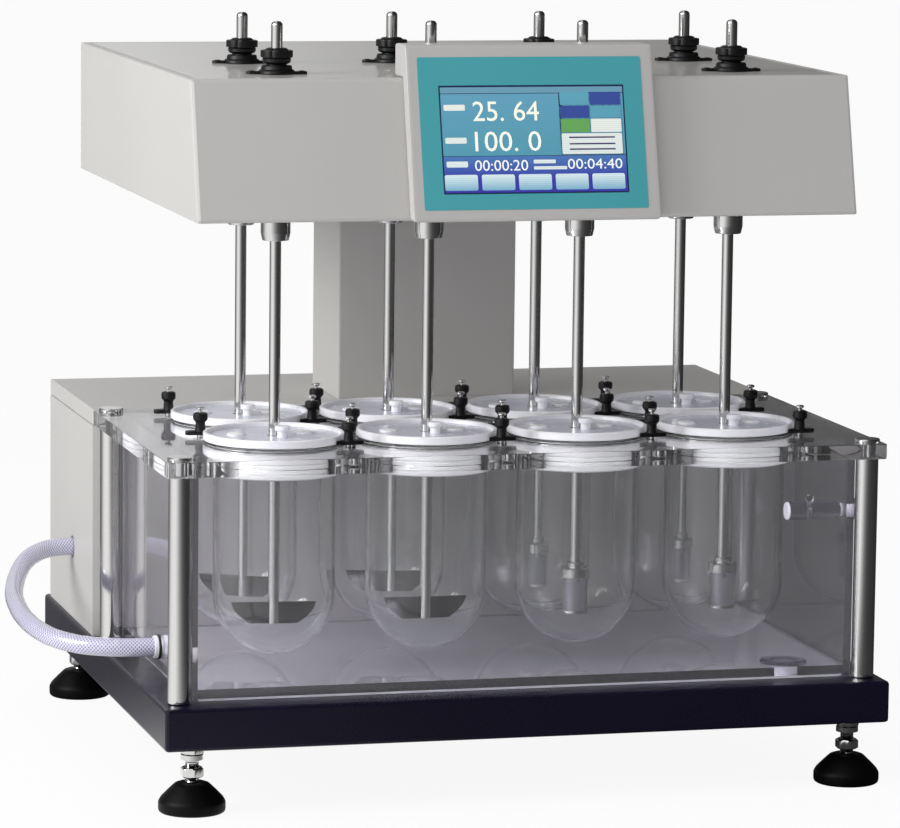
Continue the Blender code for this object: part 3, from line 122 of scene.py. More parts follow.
class Finish:
    """A node tree that is being made, for a material or for the world."""

    def __init__(self, owner, kind="Material"):
        owner.use_nodes = True
        self.owner = owner
        self.tree = owner.node_tree
        self.tree.nodes.clear()
        self.output = self.tree.nodes.new("ShaderNodeOutput" + kind)

    def node(self, kind, settings=None, values=None, output=0):
        made = self.tree.nodes.new(kind)
        for name, value in (settings or {}).items():
            if name == "stops":
                self.set_stops(made.color_ramp, value)
            else:
                setattr(made, name, value)
        for name, value in (values or {}).items():
            if isinstance(value, Wire):
                self.tree.links.new(value.socket, made.inputs[name])
            else:
                made.inputs[name].default_value = value
        return Wire(self, made.outputs[output])

    @staticmethod
    def set_stops(ramp, stops):
        while len(ramp.elements) < len(stops):
            ramp.elements.new(1)
        for element, (place, color) in zip(ramp.elements, stops):
            element.position = place
            element.color = color

    def blend(self, factor, first, second):
        mix = {"Factor": factor, 6: first, 7: second}
        return self.node("ShaderNodeMix", {"data_type": "RGBA"}, mix, 2)

    def varied(self, middle, *noises):
        """A value that noises push up and down, each by its own spread."""
        for noise, spread in noises:
            middle = middle + spread * (noise - 0.5)
        return middle

    def place(self, stretch=(1, 1, 1)):
        """Where a point lies on the piece, in metres, stretched as the pattern needs."""
        spot = self.node("ShaderNodeTexCoord", output="Object")
        return self.node("ShaderNodeMapping", values={"Vector": spot, "Scale": stretch})

    def noise(self, scale, detail=2, stretch=(1, 1, 1)):
        values = {"Vector": self.place(stretch), "Scale": scale, "Detail": detail}
        return self.node("ShaderNodeTexNoise", values=values)

    def bands(self, way, vector, scale):
        settings = {"wave_type": "BANDS", "bands_direction": way}
        return self.node("ShaderNodeTexWave", settings, {"Vector": vector, "Scale": scale})

    def bump(self, height, distance):
        values = {"Height": height, "Distance": distance, "Strength": 1}
        return self.node("ShaderNodeBump", values=values)

    def part(self, vector, axis):
        return self.node("ShaderNodeSeparateXYZ", values={0: vector}, output=axis)

    def principled(self, **values):
        named = {name.replace("_", " ").title().replace("Ior", "IOR"): value
                 for name, value in values.items()}
        return self.node("ShaderNodeBsdfPrincipled", values=named)

    def done(self, shader):
        self.tree.links.new(shader.socket, self.output.inputs["Surface"])
        return self.owner

    def skin(self, **values):
        """The finished material, when one Principled shader is all it needs."""
        return self.done(self.principled(**values))


def new_finish(name):
    return Finish(bpy.data.materials.new(name))


def tint(red, green, blue):
    """A colour written as on a paint chart, 0 to 255, as the light values that shaders use."""
    def light(value):
        share = value / 255
        return share / 12.92 if share <= 0.04045 else ((share + 0.055) / 1.055) ** 2.4
    return (light(red), light(green), light(blue), 1)


print("shader helpers ready")

# %% [markdown]
# ## Painted sheet metal
# The housings have a fine satin powder coat. It is not one flat colour: the powder melts into a
# faint orange peel, and the tone drifts a little over a large panel. A coarse noise shifts the
# colour and the roughness, and a fine one is the peel.

# %% Paints
DRIFT_SCALE, GRAIN_SCALE, PEEL_SCALE = 6, 900, 420
DRIFT_SPREAD, GRAIN_SPREAD = 0.08, 0.06
GRAIN_SHARE = 0.35


def powder_coat(name, low, high, roughness, peel=0.00006, coat=0.0, shine=0.5):
    """A powder coat whose tone drifts between two colours."""
    finish = new_finish(name)
    drift = finish.noise(DRIFT_SCALE, 3)
    grain = finish.noise(GRAIN_SCALE)
    color = finish.blend(drift, tint(*low), tint(*high))
    rough = finish.varied(roughness, (drift, DRIFT_SPREAD), (grain, GRAIN_SPREAD))
    normal = finish.bump(finish.noise(PEEL_SCALE, 1) + GRAIN_SHARE * grain, peel)
    return finish.skin(base_color=color, roughness=rough, normal=normal, coat_weight=coat,
                       coat_roughness=0.06, specular_ior_level=shine)


LIGHT_PAINT = powder_coat("light_paint", (188, 186, 183), (194, 192, 189), 0.42)
COVER_PAINT = powder_coat("cover_paint", (196, 194, 189), (202, 200, 195), 0.3, 0.00002, 0.5)
BEZEL_PAINT = powder_coat("bezel_paint", (186, 184, 182), (192, 190, 188), 0.36)
NAVY_PAINT = powder_coat("navy_paint", (14, 11, 30), (18, 14, 38), 0.28, 0.00004, shine=0.3)
print("paints", LIGHT_PAINT.name, COVER_PAINT.name, BEZEL_PAINT.name, NAVY_PAINT.name)

# %% [markdown]
# ## Metals
# The posts and shafts are polished, the sheet under the bath is brushed, and the paddles are darker
# and satin. All have fine lines from working. The lines are noise that is stretched along the way
# the piece was turned or brushed, and they reach both the roughness and the bump.

# %% Steels
LINE_SCALE, PATCH_SCALE = 260, 14
PATCH_SPREAD = 0.06
LINE_SHADE = 0.86
ROUND_LINES = (1, 1, 8)
SHEET_LINES = (0.02, 1, 1)


def worked_steel(name, color, roughness, stretch, line=0.000004, spread=0.14, bare=1.0):
    """Bare metal with fine lines along the way it was worked."""
    finish = new_finish(name)
    lines = finish.noise(LINE_SCALE, 3, stretch)
    patches = finish.noise(PATCH_SCALE)
    rough = finish.varied(roughness, (lines, spread), (patches, PATCH_SPREAD))
    bright = tint(*color)
    shade = finish.blend(lines, tuple(LINE_SHADE * part for part in bright[:3]) + (1,), bright)
    normal = finish.bump(lines, line)
    return finish.skin(base_color=shade, metallic=bare, roughness=rough, normal=normal)


SHAFT_STEEL = worked_steel("shaft_steel", (230, 229, 228), 0.09, ROUND_LINES, 0.000001, 0.05)
CHROME = worked_steel("chrome", (228, 227, 226), 0.08, ROUND_LINES, 0.000001, 0.04)
BLADE_STEEL = worked_steel("blade_steel", (62, 59, 57), 0.38, SHEET_LINES)
SHEET_STEEL = worked_steel("sheet_steel", (200, 200, 204), 0.5, SHEET_LINES, 0.00001)
BATH_SHEET = worked_steel("bath_sheet", (205, 206, 211), 0.45, SHEET_LINES, 0.00001, bare=0.25)
CAST_METAL = worked_steel("cast_metal", (120, 122, 124), 0.5, (1, 1, 1), 0.00006)
print("steels", SHAFT_STEEL.name, CHROME.name, BLADE_STEEL.name, SHEET_STEEL.name, CAST_METAL.name)

# %% [markdown]
# ## Clear materials
# Glass and acrylic bend light, so their walls are modelled with a true thickness. Light that goes
# to a lamp is let straight through, or every vessel would throw a black shadow. Faint waves in the
# surface keep the sheets from looking like a computer's idea of glass.

# %% Glass and acrylic
WAVE_SCALE = 22
GLASS_BEND, ACRYLIC_BEND = 1.45, 1.49


def clear(name, color, shade, bend, wave, clearness=1.0):
    """A clear solid that lets lamp light through. What it lacks in clearness is a milky haze."""
    finish = new_finish(name)
    normal = finish.bump(finish.noise(WAVE_SCALE, 1), wave)
    body = finish.principled(base_color=tint(*color), roughness=0.0, ior=bend, normal=normal,
                             transmission_weight=clearness)
    through = finish.node("ShaderNodeBsdfTransparent", values={"Color": tint(*shade)})
    is_shadow = finish.node("ShaderNodeLightPath", output="Is Shadow Ray")
    mix = {0: is_shadow, 1: body, 2: through}
    return finish.done(finish.node("ShaderNodeMixShader", values=mix))


ACRYLIC = clear("clear_acrylic", (249, 248, 251), (248, 247, 250), ACRYLIC_BEND, 0.00004, 0.982)
GLASS = clear("vessel_glass", (253, 254, 253), (249, 250, 249), GLASS_BEND, 0.00006, 0.995)
SENSOR_TUBE = clear("sensor_tube", (226, 225, 232), (216, 215, 222), GLASS_BEND, 0.00002)
DRAIN_CAP = clear("drain_cap", (196, 194, 204), (180, 178, 190), ACRYLIC_BEND, 0.00002, 0.97)
print("clear materials", ACRYLIC.name, GLASS.name, SENSOR_TUBE.name, DRAIN_CAP.name)

# %% [markdown]
# ## Moulded plastics and rubber
# The knobs and clamps are black nylon, the lids a white acetal, the feet a dull rubber. Moulded
# parts have a fine even grain, which bump makes, and gloss that varies where hands have rubbed it.

# %% Plastics
WEAR_SCALE, SPARK_SCALE = 45, 1400
WEAR_SPREAD = 0.16


def moulded(name, low, high, roughness, grain=0.00003, coat=0.0, shine=0.5):
    """A moulded plastic or rubber with a fine grain."""
    finish = new_finish(name)
    wear = finish.noise(WEAR_SCALE, 3)
    color = finish.blend(wear, tint(*low), tint(*high))
    rough = finish.varied(roughness, (wear, WEAR_SPREAD))
    normal = finish.bump(finish.noise(SPARK_SCALE, 1), grain)
    return finish.skin(base_color=color, roughness=rough, normal=normal, coat_weight=coat,
                       coat_roughness=0.15, specular_ior_level=shine)


BLACK_NYLON = moulded("black_nylon", (13, 13, 14), (20, 20, 22), 0.42, shine=0.3)
FOOT_RUBBER = moulded("foot_rubber", (4, 4, 5), (8, 8, 9), 0.48, 0.00004, shine=0.12)
LID_WHITE = moulded("lid_white", (242, 242, 247), (248, 248, 252), 0.3, 0.00001, 0.2)
# The lid recess finish is painted shade and reflection: a bluish grey that stands in for the shade
# in the lid's sunk face.
LID_RECESS_SHADE = moulded("lid_recess", (206, 208, 224), (214, 216, 230), 0.26, 0.00001, 0.3)
COLLAR_WHITE = moulded("collar_white", (206, 209, 207), (212, 214, 213), 0.34, 0.00001, 0.2)
FITTING_WHITE = moulded("fitting_white", (222, 222, 230), (232, 232, 238), 0.34)
BELT_RUBBER = moulded("belt_rubber", (20, 20, 20), (30, 30, 30), 0.7)
print("plastics", BLACK_NYLON.name, LID_WHITE.name, COLLAR_WHITE.name, FOOT_RUBBER.name)

# %% [markdown]
# ## The braided hose's finish
# The hose is soft clear tube with white threads wound both ways inside it. Two sets of slanted
# waves over the hose's own length and turn make the threads, and where a thread passes the colour
# goes white and the skin rises a little.

# %% Braid
BRAID_TURNS = 14
BRAID_PITCH = 330
THREAD_GAIN, THREAD_CUT, THREAD_BLUR = 1.6, 0.5, 0.1


def braid():
    finish = new_finish("braided_hose")
    layout = finish.node("ShaderNodeUVMap", {"uv_map": "braid"})
    along = finish.part(layout, "X") * BRAID_PITCH
    around = finish.part(layout, "Y") * BRAID_TURNS
    first = (along + around) * FULL_TURN
    second = (along - around) * FULL_TURN
    threads = first.maths("MAXIMUM", first.maths("SINE", first), first.maths("SINE", second))
    raised = threads.maths("MAXIMUM", threads * THREAD_GAIN - THREAD_CUT, 0.0)
    mask = threads.maths("SMOOTH_MIN", raised, 1.0, THREAD_BLUR)
    color = finish.blend(mask, tint(146, 142, 172), tint(226, 226, 242))
    return finish.skin(base_color=color, roughness=0.2, coat_weight=1.0, coat_roughness=0.04,
                       normal=finish.bump(mask, 0.00006))


BRAIDED = braid()
print("braid", BRAIDED.name)

# %% [markdown]
# ## A way to build pieces
# Most pieces here are turned on a lathe, cut from a sheet, or drawn through a row of outlines. A
# Shape collects such closed shells, each with its finish, and turns them into one object that
# rides on a body of the frame. Lathe profiles are written in millimetres of radius and height. A
# slab's three numbers are its low face, its high face and the softening of its edges, in metres.

# %% Shape builder
SHARP_ANGLE = math.radians(35)
WELD = 0.000001
HEXAGON, SCREW_SIDES, NUT_SIDES, ROD_SIDES, TUBE_SIDES = 6, 20, 24, 32, 40
ROUND_SIDES, WIDE_SIDES = 48, 64


class Shape:
    """Closed shells that become one mesh."""

    def __init__(self, finish):
        self.mesh = bmesh.new()
        self.finishes = []
        self.use(finish)

    def use(self, finish):
        """The shells that follow have this finish."""
        if finish not in self.finishes:
            self.finishes.append(finish)
        self.slot = self.finishes.index(finish)
        return self

    def lofted(self, rings, place=Matrix(), capped=True):
        """A skin drawn through rings of points. A ring of one point closes it to a tip."""
        rows = [[self.mesh.verts.new(place @ Vector(point)) for point in ring] for ring in rings]
        sides = max(len(row) for row in rows)
        faces = []
        for low, high in zip(rows, rows[1:]):
            for index in range(sides):
                after = index + 1
                corners = (low[index % len(low)], low[after % len(low)],
                           high[after % len(high)], high[index % len(high)])
                faces.append(list(dict.fromkeys(corners)))
        faces += [row for row in (rows[0], rows[-1]) if capped and len(row) > 2]
        for corners in faces:
            self.mesh.faces.new(corners).material_index = self.slot
        return self

    def turned(self, profile, sides=ROUND_SIDES, place=Matrix()):
        """A lathe piece from points of radius and height, closed on itself if it has a bore."""
        rings = [circle(radius, sides, height) if radius else [(0, 0, height)]
                 for radius, height in profile]
        if all(radius for radius, height in profile):
            return self.lofted(rings + rings[:1], place, False)
        return self.lofted(rings, place)

    def stack(self, rows, place=Matrix()):
        """Lathe pieces on one axis. A row holds a finish, a number of sides and a profile."""
        for finish, sides, profile in rows:
            self.use(finish).turned(profile, sides, place)
        return self

    def rod(self, radius, low, high, edge, sides=NUT_SIDES, place=Matrix()):
        """A round bar with softened ends."""
        profile = [(0, low), (radius - edge, low), (radius, low + edge), (radius, high - edge),
                   (radius - edge, high), (0, high)]
        return self.turned(profile, sides, place)

    def slab(self, outlines, low, high, edge, place=Matrix()):
        """A plate cut to an outline, with holes and softened edges, between two heights."""
        curve = bpy.data.curves.new("slab", "CURVE")
        curve.dimensions = "2D"
        curve.fill_mode = "BOTH"
        curve.extrude = (high - low) / 2 - edge
        curve.bevel_depth = edge
        curve.bevel_resolution = 1
        curve.offset = -edge
        for outline in outlines:
            spline = curve.splines.new("POLY")
            spline.points.add(len(outline) - 1)
            spline.use_cyclic_u = True
            for point, spot in zip(spline.points, outline):
                point.co = (*spot[:2], 0, 1)
        return self.take(curve, place @ at(0, 0, (low + high) / 2))

    def words(self, text, width, height, thickness, place):
        """Figures in raised print that fill a box, centred on a place."""
        curve = bpy.data.curves.new("words", "FONT")
        curve.body = text
        curve.extrude = thickness / 2
        curve.resolution_u = 3
        points = [vertex.co for vertex in mesh_of(curve).vertices]
        low = Vector([min(point[axis] for point in points) for axis in range(2)])
        high = Vector([max(point[axis] for point in points) for axis in range(2)])
        fit = Matrix.Diagonal((width / (high.x - low.x), height / (high.y - low.y), 1, 1))
        return self.take(curve, place @ fit @ Matrix.Translation((-(low + high) / 2).to_3d()))

    def take(self, curve, place):
        mesh = mesh_of(curve)
        mesh.transform(place)
        before = len(self.mesh.faces)
        self.mesh.from_mesh(mesh)
        self.mesh.faces.ensure_lookup_table()
        for face in self.mesh.faces[before:]:
            face.material_index = self.slot
        return self

    def finished(self, name):
        """The mesh, welded, with its normals outward."""
        bmesh.ops.remove_doubles(self.mesh, verts=self.mesh.verts, dist=WELD)
        bmesh.ops.recalc_face_normals(self.mesh, faces=self.mesh.faces)
        mesh = bpy.data.meshes.new(name)
        self.mesh.to_mesh(mesh)
        self.mesh.free()
        for finish in self.finishes:
            mesh.materials.append(finish)
        mesh.shade_smooth()
        mesh.set_sharp_from_angle(angle=SHARP_ANGLE)
        return mesh


def mesh_of(curve):
    holder = placed(bpy.data.objects.new("holder", curve))
    shape = holder.evaluated_get(bpy.context.evaluated_depsgraph_get())
    mesh = bpy.data.meshes.new_from_object(shape)
    bpy.data.objects.remove(holder)
    return mesh


print("shape builder ready")

# %% Outlines and places
def mm(*points):
    """Points written in millimetres, given back in metres."""
    return [tuple(part / 1000 for part in point) for point in points]


def lathe(inner, *points):
    """A lathe profile from points in millimetres, closed at an inner radius, in metres."""
    return mm((inner, points[0][1]), *points, (inner, points[-1][1]))


def at(x, y=0, z=0):
    return Matrix.Translation((x, y, z))


def circle(radius, sides, height=0.0, centre=(0, 0)):
    turns = [FULL_TURN * index / sides for index in range(sides)]
    return [(centre[0] + radius * math.cos(turn), centre[1] + radius * math.sin(turn), height)
            for turn in turns]


def arc(centre, radius, start, end, steps):
    """Points on a share of a circle, with its turns in degrees."""
    turns = [math.radians(start + (end - start) * index / steps) for index in range(steps + 1)]
    return [(centre[0] + radius * math.cos(turn), centre[1] + radius * math.sin(turn))
            for turn in turns]


def rounded_box(left, right, front, back, radius, steps=4):
    """A rectangle with round corners."""
    corners = ((right, back, -1, -1, 0), (left, back, 1, -1, 90), (left, front, 1, 1, 180),
               (right, front, -1, 1, 270))
    points = []
    for x, y, inward_x, inward_y, start in corners:
        centre = (x + inward_x * radius, y + inward_y * radius)
        points += arc(centre, radius, start, start + 90, steps)
    return points


def add(name, mesh, body, replaces=(), place=(0, 0, 0)):
    """An object that rides on a body, and stands for the CAD nodes it replaces."""
    if isinstance(mesh, Shape):
        mesh = mesh.finished(name)
    piece = placed(bpy.data.objects.new(name, mesh))
    piece.location = place
    piece.modifiers.new("even_shading", "WEIGHTED_NORMAL").keep_sharp = True
    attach(piece, body)
    if replaces:
        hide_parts(*replaces)
    return piece


def add_each(places, name, mesh, body, node=None):
    """The same piece at each of the places. In the names a {} stands for the place's number."""
    for number, place in enumerate(places, 1):
        replaces = [node.format(number)] if node else ()
        add(name.format(number), mesh, body.format(number), replaces, (*place, 0))
    print(name.format("1 to " + str(len(places))), "faces each", len(mesh.polygons))


print("outlines ready")

# %% [markdown]
# ## The water hose
# One hose brings water from the pump in the cabinet round to the bath's left side. It is shown
# from end to end, so its length is the length of this route. It comes first, with the camera,
# because nothing else may stand in its way.

# %% Hose
HOSE_RADIUS = 0.0083
HOSE_STRAIGHT = 0.016
HOSE_SIDES = 24
HOSE_STEPS = 10
NEAR_FULL_TURN = 0.9
HOSE_START = Vector((-0.3038, 0.160, 0.1615))
HOSE_END = Vector((-0.3034, -0.128, 0.1185))
HOSE_ROUTE = (
    (-0.343, 0.1565, 0.1610), (-0.360, 0.1460, 0.1579), (-0.373, 0.1285, 0.1528),
    (-0.383, 0.1050, 0.1463), (-0.391, 0.0760, 0.1410), (-0.397, 0.0440, 0.1372),
    (-0.400, 0.0100, 0.1341), (-0.400, -0.0230, 0.1302), (-0.395, -0.0560, 0.1258),
    (-0.384, -0.0850, 0.1219), (-0.366, -0.1080, 0.1195), (-0.344, -0.1220, 0.1189))


def smooth_route(points, steps):
    """The points joined by one smooth curve that passes through each."""
    path = []
    padded = [points[0], *points, points[-1]]
    for before, start, end, after in zip(padded, padded[1:], padded[2:], padded[3:]):
        for step in range(steps):
            t = step / steps
            path.append(0.5 * (2 * start + (end - before) * t
                               + (2 * before - 5 * start + 4 * end - after) * t * t
                               + (3 * start - before - 3 * end + after) * t * t * t))
    return path + [points[-1]]


def spot_key(point):
    return tuple(round(part, 6) for part in point)


aside = Vector((HOSE_STRAIGHT, 0, 0))
route = [HOSE_START, HOSE_START - aside, *map(Vector, HOSE_ROUTE), HOSE_END - aside, HOSE_END]
hose_path = smooth_route(route, HOSE_STEPS)
steps = [(after - before).length for before, after in zip(hose_path, hose_path[1:])]

travelled = 0
last = len(steps)
rings, layout_of = [], {}
upward = Vector((0, 0, 1))
for index, spot in enumerate(hose_path):
    heading = (hose_path[min(index + 1, last)] - hose_path[max(index - 1, 0)]).normalized()
    across = upward.cross(heading).normalized()
    over = heading.cross(across)
    ring = [spot + HOSE_RADIUS * (x * across + y * over) for x, y, z in circle(1, HOSE_SIDES)]
    layout_of.update({spot_key(point): (travelled, count / HOSE_SIDES)
                      for count, point in enumerate(ring)})
    rings.append(ring)
    travelled += sum(steps[index:index + 1])

hose_mesh = Shape(BRAIDED).lofted(rings).finished("circulation_hose")
layout = hose_mesh.uv_layers.new(name="braid")
for polygon in hose_mesh.polygons:
    spots = [layout_of[spot_key(hose_mesh.vertices[corner].co)] for corner in polygon.vertices]
    wraps = max(turn for along, turn in spots) > NEAR_FULL_TURN
    for loop, (along, turn) in zip(polygon.loop_indices, spots):
        layout.data[loop].uv = (along, 1 if wraps and turn == 0 else turn)
hose_piece = add("braided_water_hose", hose_mesh, "stand", ["circulation_hose"])

# %% [markdown]
# ## Where things stand
# The frame says where each vessel is. Everything over a vessel shares its axis, so the eight
# places are measured once and used for lids, clamps, shafts and knobs alike.

# %% Stirring places
def places_of(node, count):
    """The middle of each of a row of CAD nodes, seen from above."""
    boxes = [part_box(node.format(number)) for number in range(1, count + 1)]
    return [((low + high) / 2).to_2d() for low, high in boxes]


STATIONS = places_of("vessel_{}", 8)
PLATE_LOW, PLATE_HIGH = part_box("vessel_plate")
TANK_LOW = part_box("water_tank")[0]
PADDLE_PLACES = {1: 1, 2: 2, 5: 3, 6: 4}
BASKET_PLACES = {3: 1, 4: 2, 7: 3, 8: 4}
print("stirring places", [tuple(round(part, 4) for part in place) for place in STATIONS])

# %% [markdown]
# ## Paint on the frame's own parts
# The plinth, the housings, the column and the mains parts have the right shapes already. They only
# get their finishes.

# %% Finish the kept parts
KEPT = {"base_frame": NAVY_PAINT, "rear_cabinet": LIGHT_PAINT, "cabinet_cover": LIGHT_PAINT,
        "lift_column": LIGHT_PAINT, "head_housing": LIGHT_PAINT, "panel_bezel": BEZEL_PAINT,
        "lift_mast": SHEET_STEEL, "power_inlet": BLACK_NYLON, "power_switch": BLACK_NYLON,
        "circulation_pump": CAST_METAL, "drive_motor": CAST_METAL, "motor_pulley": SHAFT_STEEL,
        "drive_belt": BELT_RUBBER}
for node, finish in KEPT.items():
    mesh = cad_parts[node].data
    mesh.materials.clear()
    mesh.materials.append(finish)
print("kept parts", len(KEPT))

# %% [markdown]
# ## Levelling feet
# Each foot is a rubber cone on a threaded stud, held by a hexagon nut on the pad and a lock nut
# under the plinth. The cone is turned, the thread is a stack of fine ridges, and each nut is a
# hexagon whose corners are turned off.

# %% Feet
PAD_PROFILE = lathe(0, (27, 0), (28.4, 1), (29, 3), (29, 8.4), (28.4, 10.2), (26.8, 12.8),
                    (21.2, 18.6), (16.4, 23.2), (14.8, 24.6), (12, 25.6), (7.2, 25.8), (6.6, 25))
STUD_RADIUS, THREAD_DEPTH, THREAD_PITCH = 0.006, 0.0005, 0.00175
STUD_LOW, STUD_TOP = 0.0255, 0.0815
NUT_FLATS, NUT_CHAMFER, NUT_BORE = 0.018, 0.0012, 0.006125
PAD_NUT, LOCK_NUT = (0.0300, 0.0388), (0.0500, 0.0572)
WASHER = lathe(6.125, (9.8, 45.6), (9.8, 49.8))


def hex_nut(shape, low, high):
    """A hexagon nut with its corners turned off at both faces."""
    sixth = math.pi / 3
    corner = NUT_FLATS / 2 / math.cos(sixth / 2)
    inner = (NUT_FLATS - NUT_CHAMFER) / 2
    rings = []
    for radius, height in ((NUT_BORE, low), (inner, low), (corner, low + NUT_CHAMFER),
                           (corner, high - NUT_CHAMFER), (inner, high), (NUT_BORE, high)):
        ring = []
        for x, y, z in circle(1, NUT_SIDES, height):
            turn = (math.atan2(y, x) + sixth / 2) % sixth - sixth / 2
            reach = min(radius, NUT_FLATS / 2 / math.cos(turn))
            ring.append((reach * x, reach * y, z))
        rings.append(ring)
    shape.lofted(rings + rings[:1])


def stud_thread():
    """The profile of a screw thread, as fine ridges."""
    points = [(0, STUD_LOW)]
    height = STUD_LOW
    while height + THREAD_PITCH <= STUD_TOP:
        points += [(STUD_RADIUS - THREAD_DEPTH, height), (STUD_RADIUS, height + THREAD_PITCH / 2)]
        height += THREAD_PITCH
    return points + [(STUD_RADIUS - THREAD_DEPTH, height), (0, height)]


foot = Shape(FOOT_RUBBER).turned(PAD_PROFILE)
foot.use(SHAFT_STEEL).turned(stud_thread(), NUT_SIDES)
foot.use(CHROME)
for nut in (PAD_NUT, LOCK_NUT):
    hex_nut(foot, *nut)
foot.turned(WASHER)
add_each(places_of("levelling_foot_{}", 4), "foot_pad_{}", foot.finished("levelling_foot"),
         "foot_{}", "levelling_foot_{}")

# %% [markdown]
# ## The water bath
# The bath is glued up from clear sheets. Glued joints show as bright and dark lines, so each wall
# is its own closed sheet, a hair from the next, and its edges are softened to catch the light. A
# brushed steel sheet lies under the clear floor, held by small screws. The drain has a clear cap
# over a white stub.

# %% Bath
WALL = 0.006
JOINT = 0.00004
SHEET_EDGE = 0.0005
FRONT, BACK, BATH_TOP = -0.265, 0.050, 0.2902
FLOOR_LOW, FLOOR_TOP = 0.0970, 0.1050
left, right, low = TANK_LOW.x, -TANK_LOW.x, TANK_LOW.z
between = (FRONT + WALL + JOINT, BACK - WALL - JOINT)
SHEETS = ((left, right, FRONT, FRONT + WALL, low, BATH_TOP),
          (left, right, BACK - WALL, BACK, low, BATH_TOP),
          (left, left + WALL, *between, low, BATH_TOP),
          (right - WALL, right, *between, low, BATH_TOP),
          (left + WALL + JOINT, right - WALL - JOINT, *between, FLOOR_LOW, FLOOR_TOP))
bath = Shape(ACRYLIC)
for x0, x1, y0, y1, z0, z1 in SHEETS:
    bath.slab([rounded_box(x0, x1, y0, y1, SHEET_EDGE, 1)], z0, z1, SHEET_EDGE / 2)
add("bath_walls", bath, "stand", ["water_tank"])
print("bath sheets", len(SHEETS))

# %% Bath floor and drain
STEEL_SHEET = rounded_box(-0.2905, 0.2905, -0.2585, 0.0435, 0.002)
STEEL = (0.0949, 0.0963, 0.0002)
SCREW_SPOTS = ((-0.247, -0.219), (-0.116, -0.213), (0.012, -0.215), (0.150, -0.020),
               (-0.180, 0.020))
FLOOR_SCREW = mm((0.1, 96.35), (3.8, 96.35), (3.4, 96.8), (0.1, 96.9))
DRAIN_SPOT = (0.243, -0.236, 0)
DRAIN_RING = lathe(0, (11, 106.3), (12.5, 107.5), (19.5, 107.5), (21, 106.7), (21, 105.05))
DRAIN_STUB = lathe(0, (10.5, 105), (10.5, 78.5))
under = Shape(BATH_SHEET).slab([STEEL_SHEET], *STEEL)
under.use(FITTING_WHITE)
for spot in SCREW_SPOTS:
    under.turned(FLOOR_SCREW, SCREW_SIDES, at(*spot))
add("bath_floor_plate", under, "stand")
drain = Shape(DRAIN_CAP).turned(DRAIN_RING).use(FITTING_WHITE).turned(DRAIN_STUB)
add("bath_drain", drain, "stand", place=DRAIN_SPOT)
print("floor screws", len(SCREW_SPOTS))

# %% [markdown]
# ## The vessel plate and its clamps
# The plate is one thick clear sheet with eight round holes. By each hole stand two black clamps
# that swing over the vessel's rim: a foot, a post, a cap to hold and a plated screw through it. The
# screw goes into a metal insert that shows through the clear plate.

# %% Plate
HOLE_RADIUS = 0.0593
PLATE_TOP = 0.304
PLATE_EDGE, PLATE_CORNER = 0.0008, 0.003
outline = rounded_box(PLATE_LOW.x, -PLATE_LOW.x, PLATE_LOW.y, PLATE_HIGH.y, PLATE_CORNER)
holes = [circle(HOLE_RADIUS, WIDE_SIDES, 0, place) for place in STATIONS]
plate = Shape(ACRYLIC).slab([outline] + holes, PLATE_LOW.z, PLATE_TOP, PLATE_EDGE)
add("clear_plate", plate, "stand", ["vessel_plate"])
print("holes", len(holes))

# %% Clamps
CLAMP_REACH = 0.070
CLAMP_TURN = math.radians(144.5)
RIM_CLEARANCE = 0.063
CLAMP_HALF_LENGTH, CLAMP_HALF_WIDTH, CLAMP_CORNER = 0.0135, 0.004, 0.0038
CLAMP_FOOT = (0.3064, 0.3102, 0.0009)
OUTLINE_STEP = 0.002
CLAMP_POST = lathe(0, (5.2, 309.5), (4.6, 311.2), (4.2, 317.2), (4.6, 318), (6.4, 320),
                   (6.6, 323), (6.2, 325.2), (5, 326))
CLAMP_SCREW = lathe(0, (1.7, 325.5), (1.7, 328.2), (3.4, 329), (3.6, 330.4), (2.6, 331))
CLAMP_PIN = lathe(0, (3, 304.2), (3, 306.8))
INSERT = (0.0062, 0.2918, 0.3034, 0.0006)


def clamp_outline(centre):
    """The foot's outline: a bar with round ends and a bay round the vessel's rim."""
    box = rounded_box(-CLAMP_HALF_LENGTH, CLAMP_HALF_LENGTH, -CLAMP_HALF_WIDTH,
                      CLAMP_HALF_WIDTH, CLAMP_CORNER, 6)
    points = [Vector(point) + centre for point in box]
    shaped = []
    for before, after in zip(points, points[1:] + points[:1]):
        count = max(1, int((after - before).length / OUTLINE_STEP))
        for step in range(count):
            spot = before.lerp(after, step / count)
            spot *= max(1, RIM_CLEARANCE / spot.length)
            shaped.append(tuple(spot - centre))
    return shaped


clamps = Shape(BLACK_NYLON)
for turn in (CLAMP_TURN, CLAMP_TURN + math.pi):
    centre = Vector((CLAMP_REACH * math.cos(turn), CLAMP_REACH * math.sin(turn)))
    spot = at(*centre)
    clamps.use(BLACK_NYLON).slab([clamp_outline(centre)], *CLAMP_FOOT, spot)
    clamps.turned(CLAMP_POST, SCREW_SIDES, spot).use(CHROME)
    clamps.turned(CLAMP_SCREW, SCREW_SIDES, spot).turned(CLAMP_PIN, SCREW_SIDES, spot)
    clamps.rod(*INSERT, place=spot)
add_each(STATIONS, "clamp_pair_{}", clamps.finished("clamp_pair"), "stand")

# %% [markdown]
# ## Corner posts
# Four polished posts carry the plate. A domed screw holds each through the plate, and its shank
# shows in the clear sheet as a bright bar.

# %% Posts
POST = (0.010, 0.0949, 0.2901, 0.0006)
POST_CAP = mm((0, 304.05), (10.8, 304.05), (11, 304.6), (11, 306.6), (10.4, 307.4), (0, 307.6))
SHANK = (0.0062, 0.2914, 0.3034, 0.0005)
post = Shape(SHAFT_STEEL).rod(*POST, ROUND_SIDES)
post.use(CHROME).turned(POST_CAP, TUBE_SIDES).rod(*SHANK, ROD_SIDES)
add_each(places_of("corner_post_{}", 4), "polished_post_{}", post.finished("corner_post"),
         "stand", "corner_post_{}")

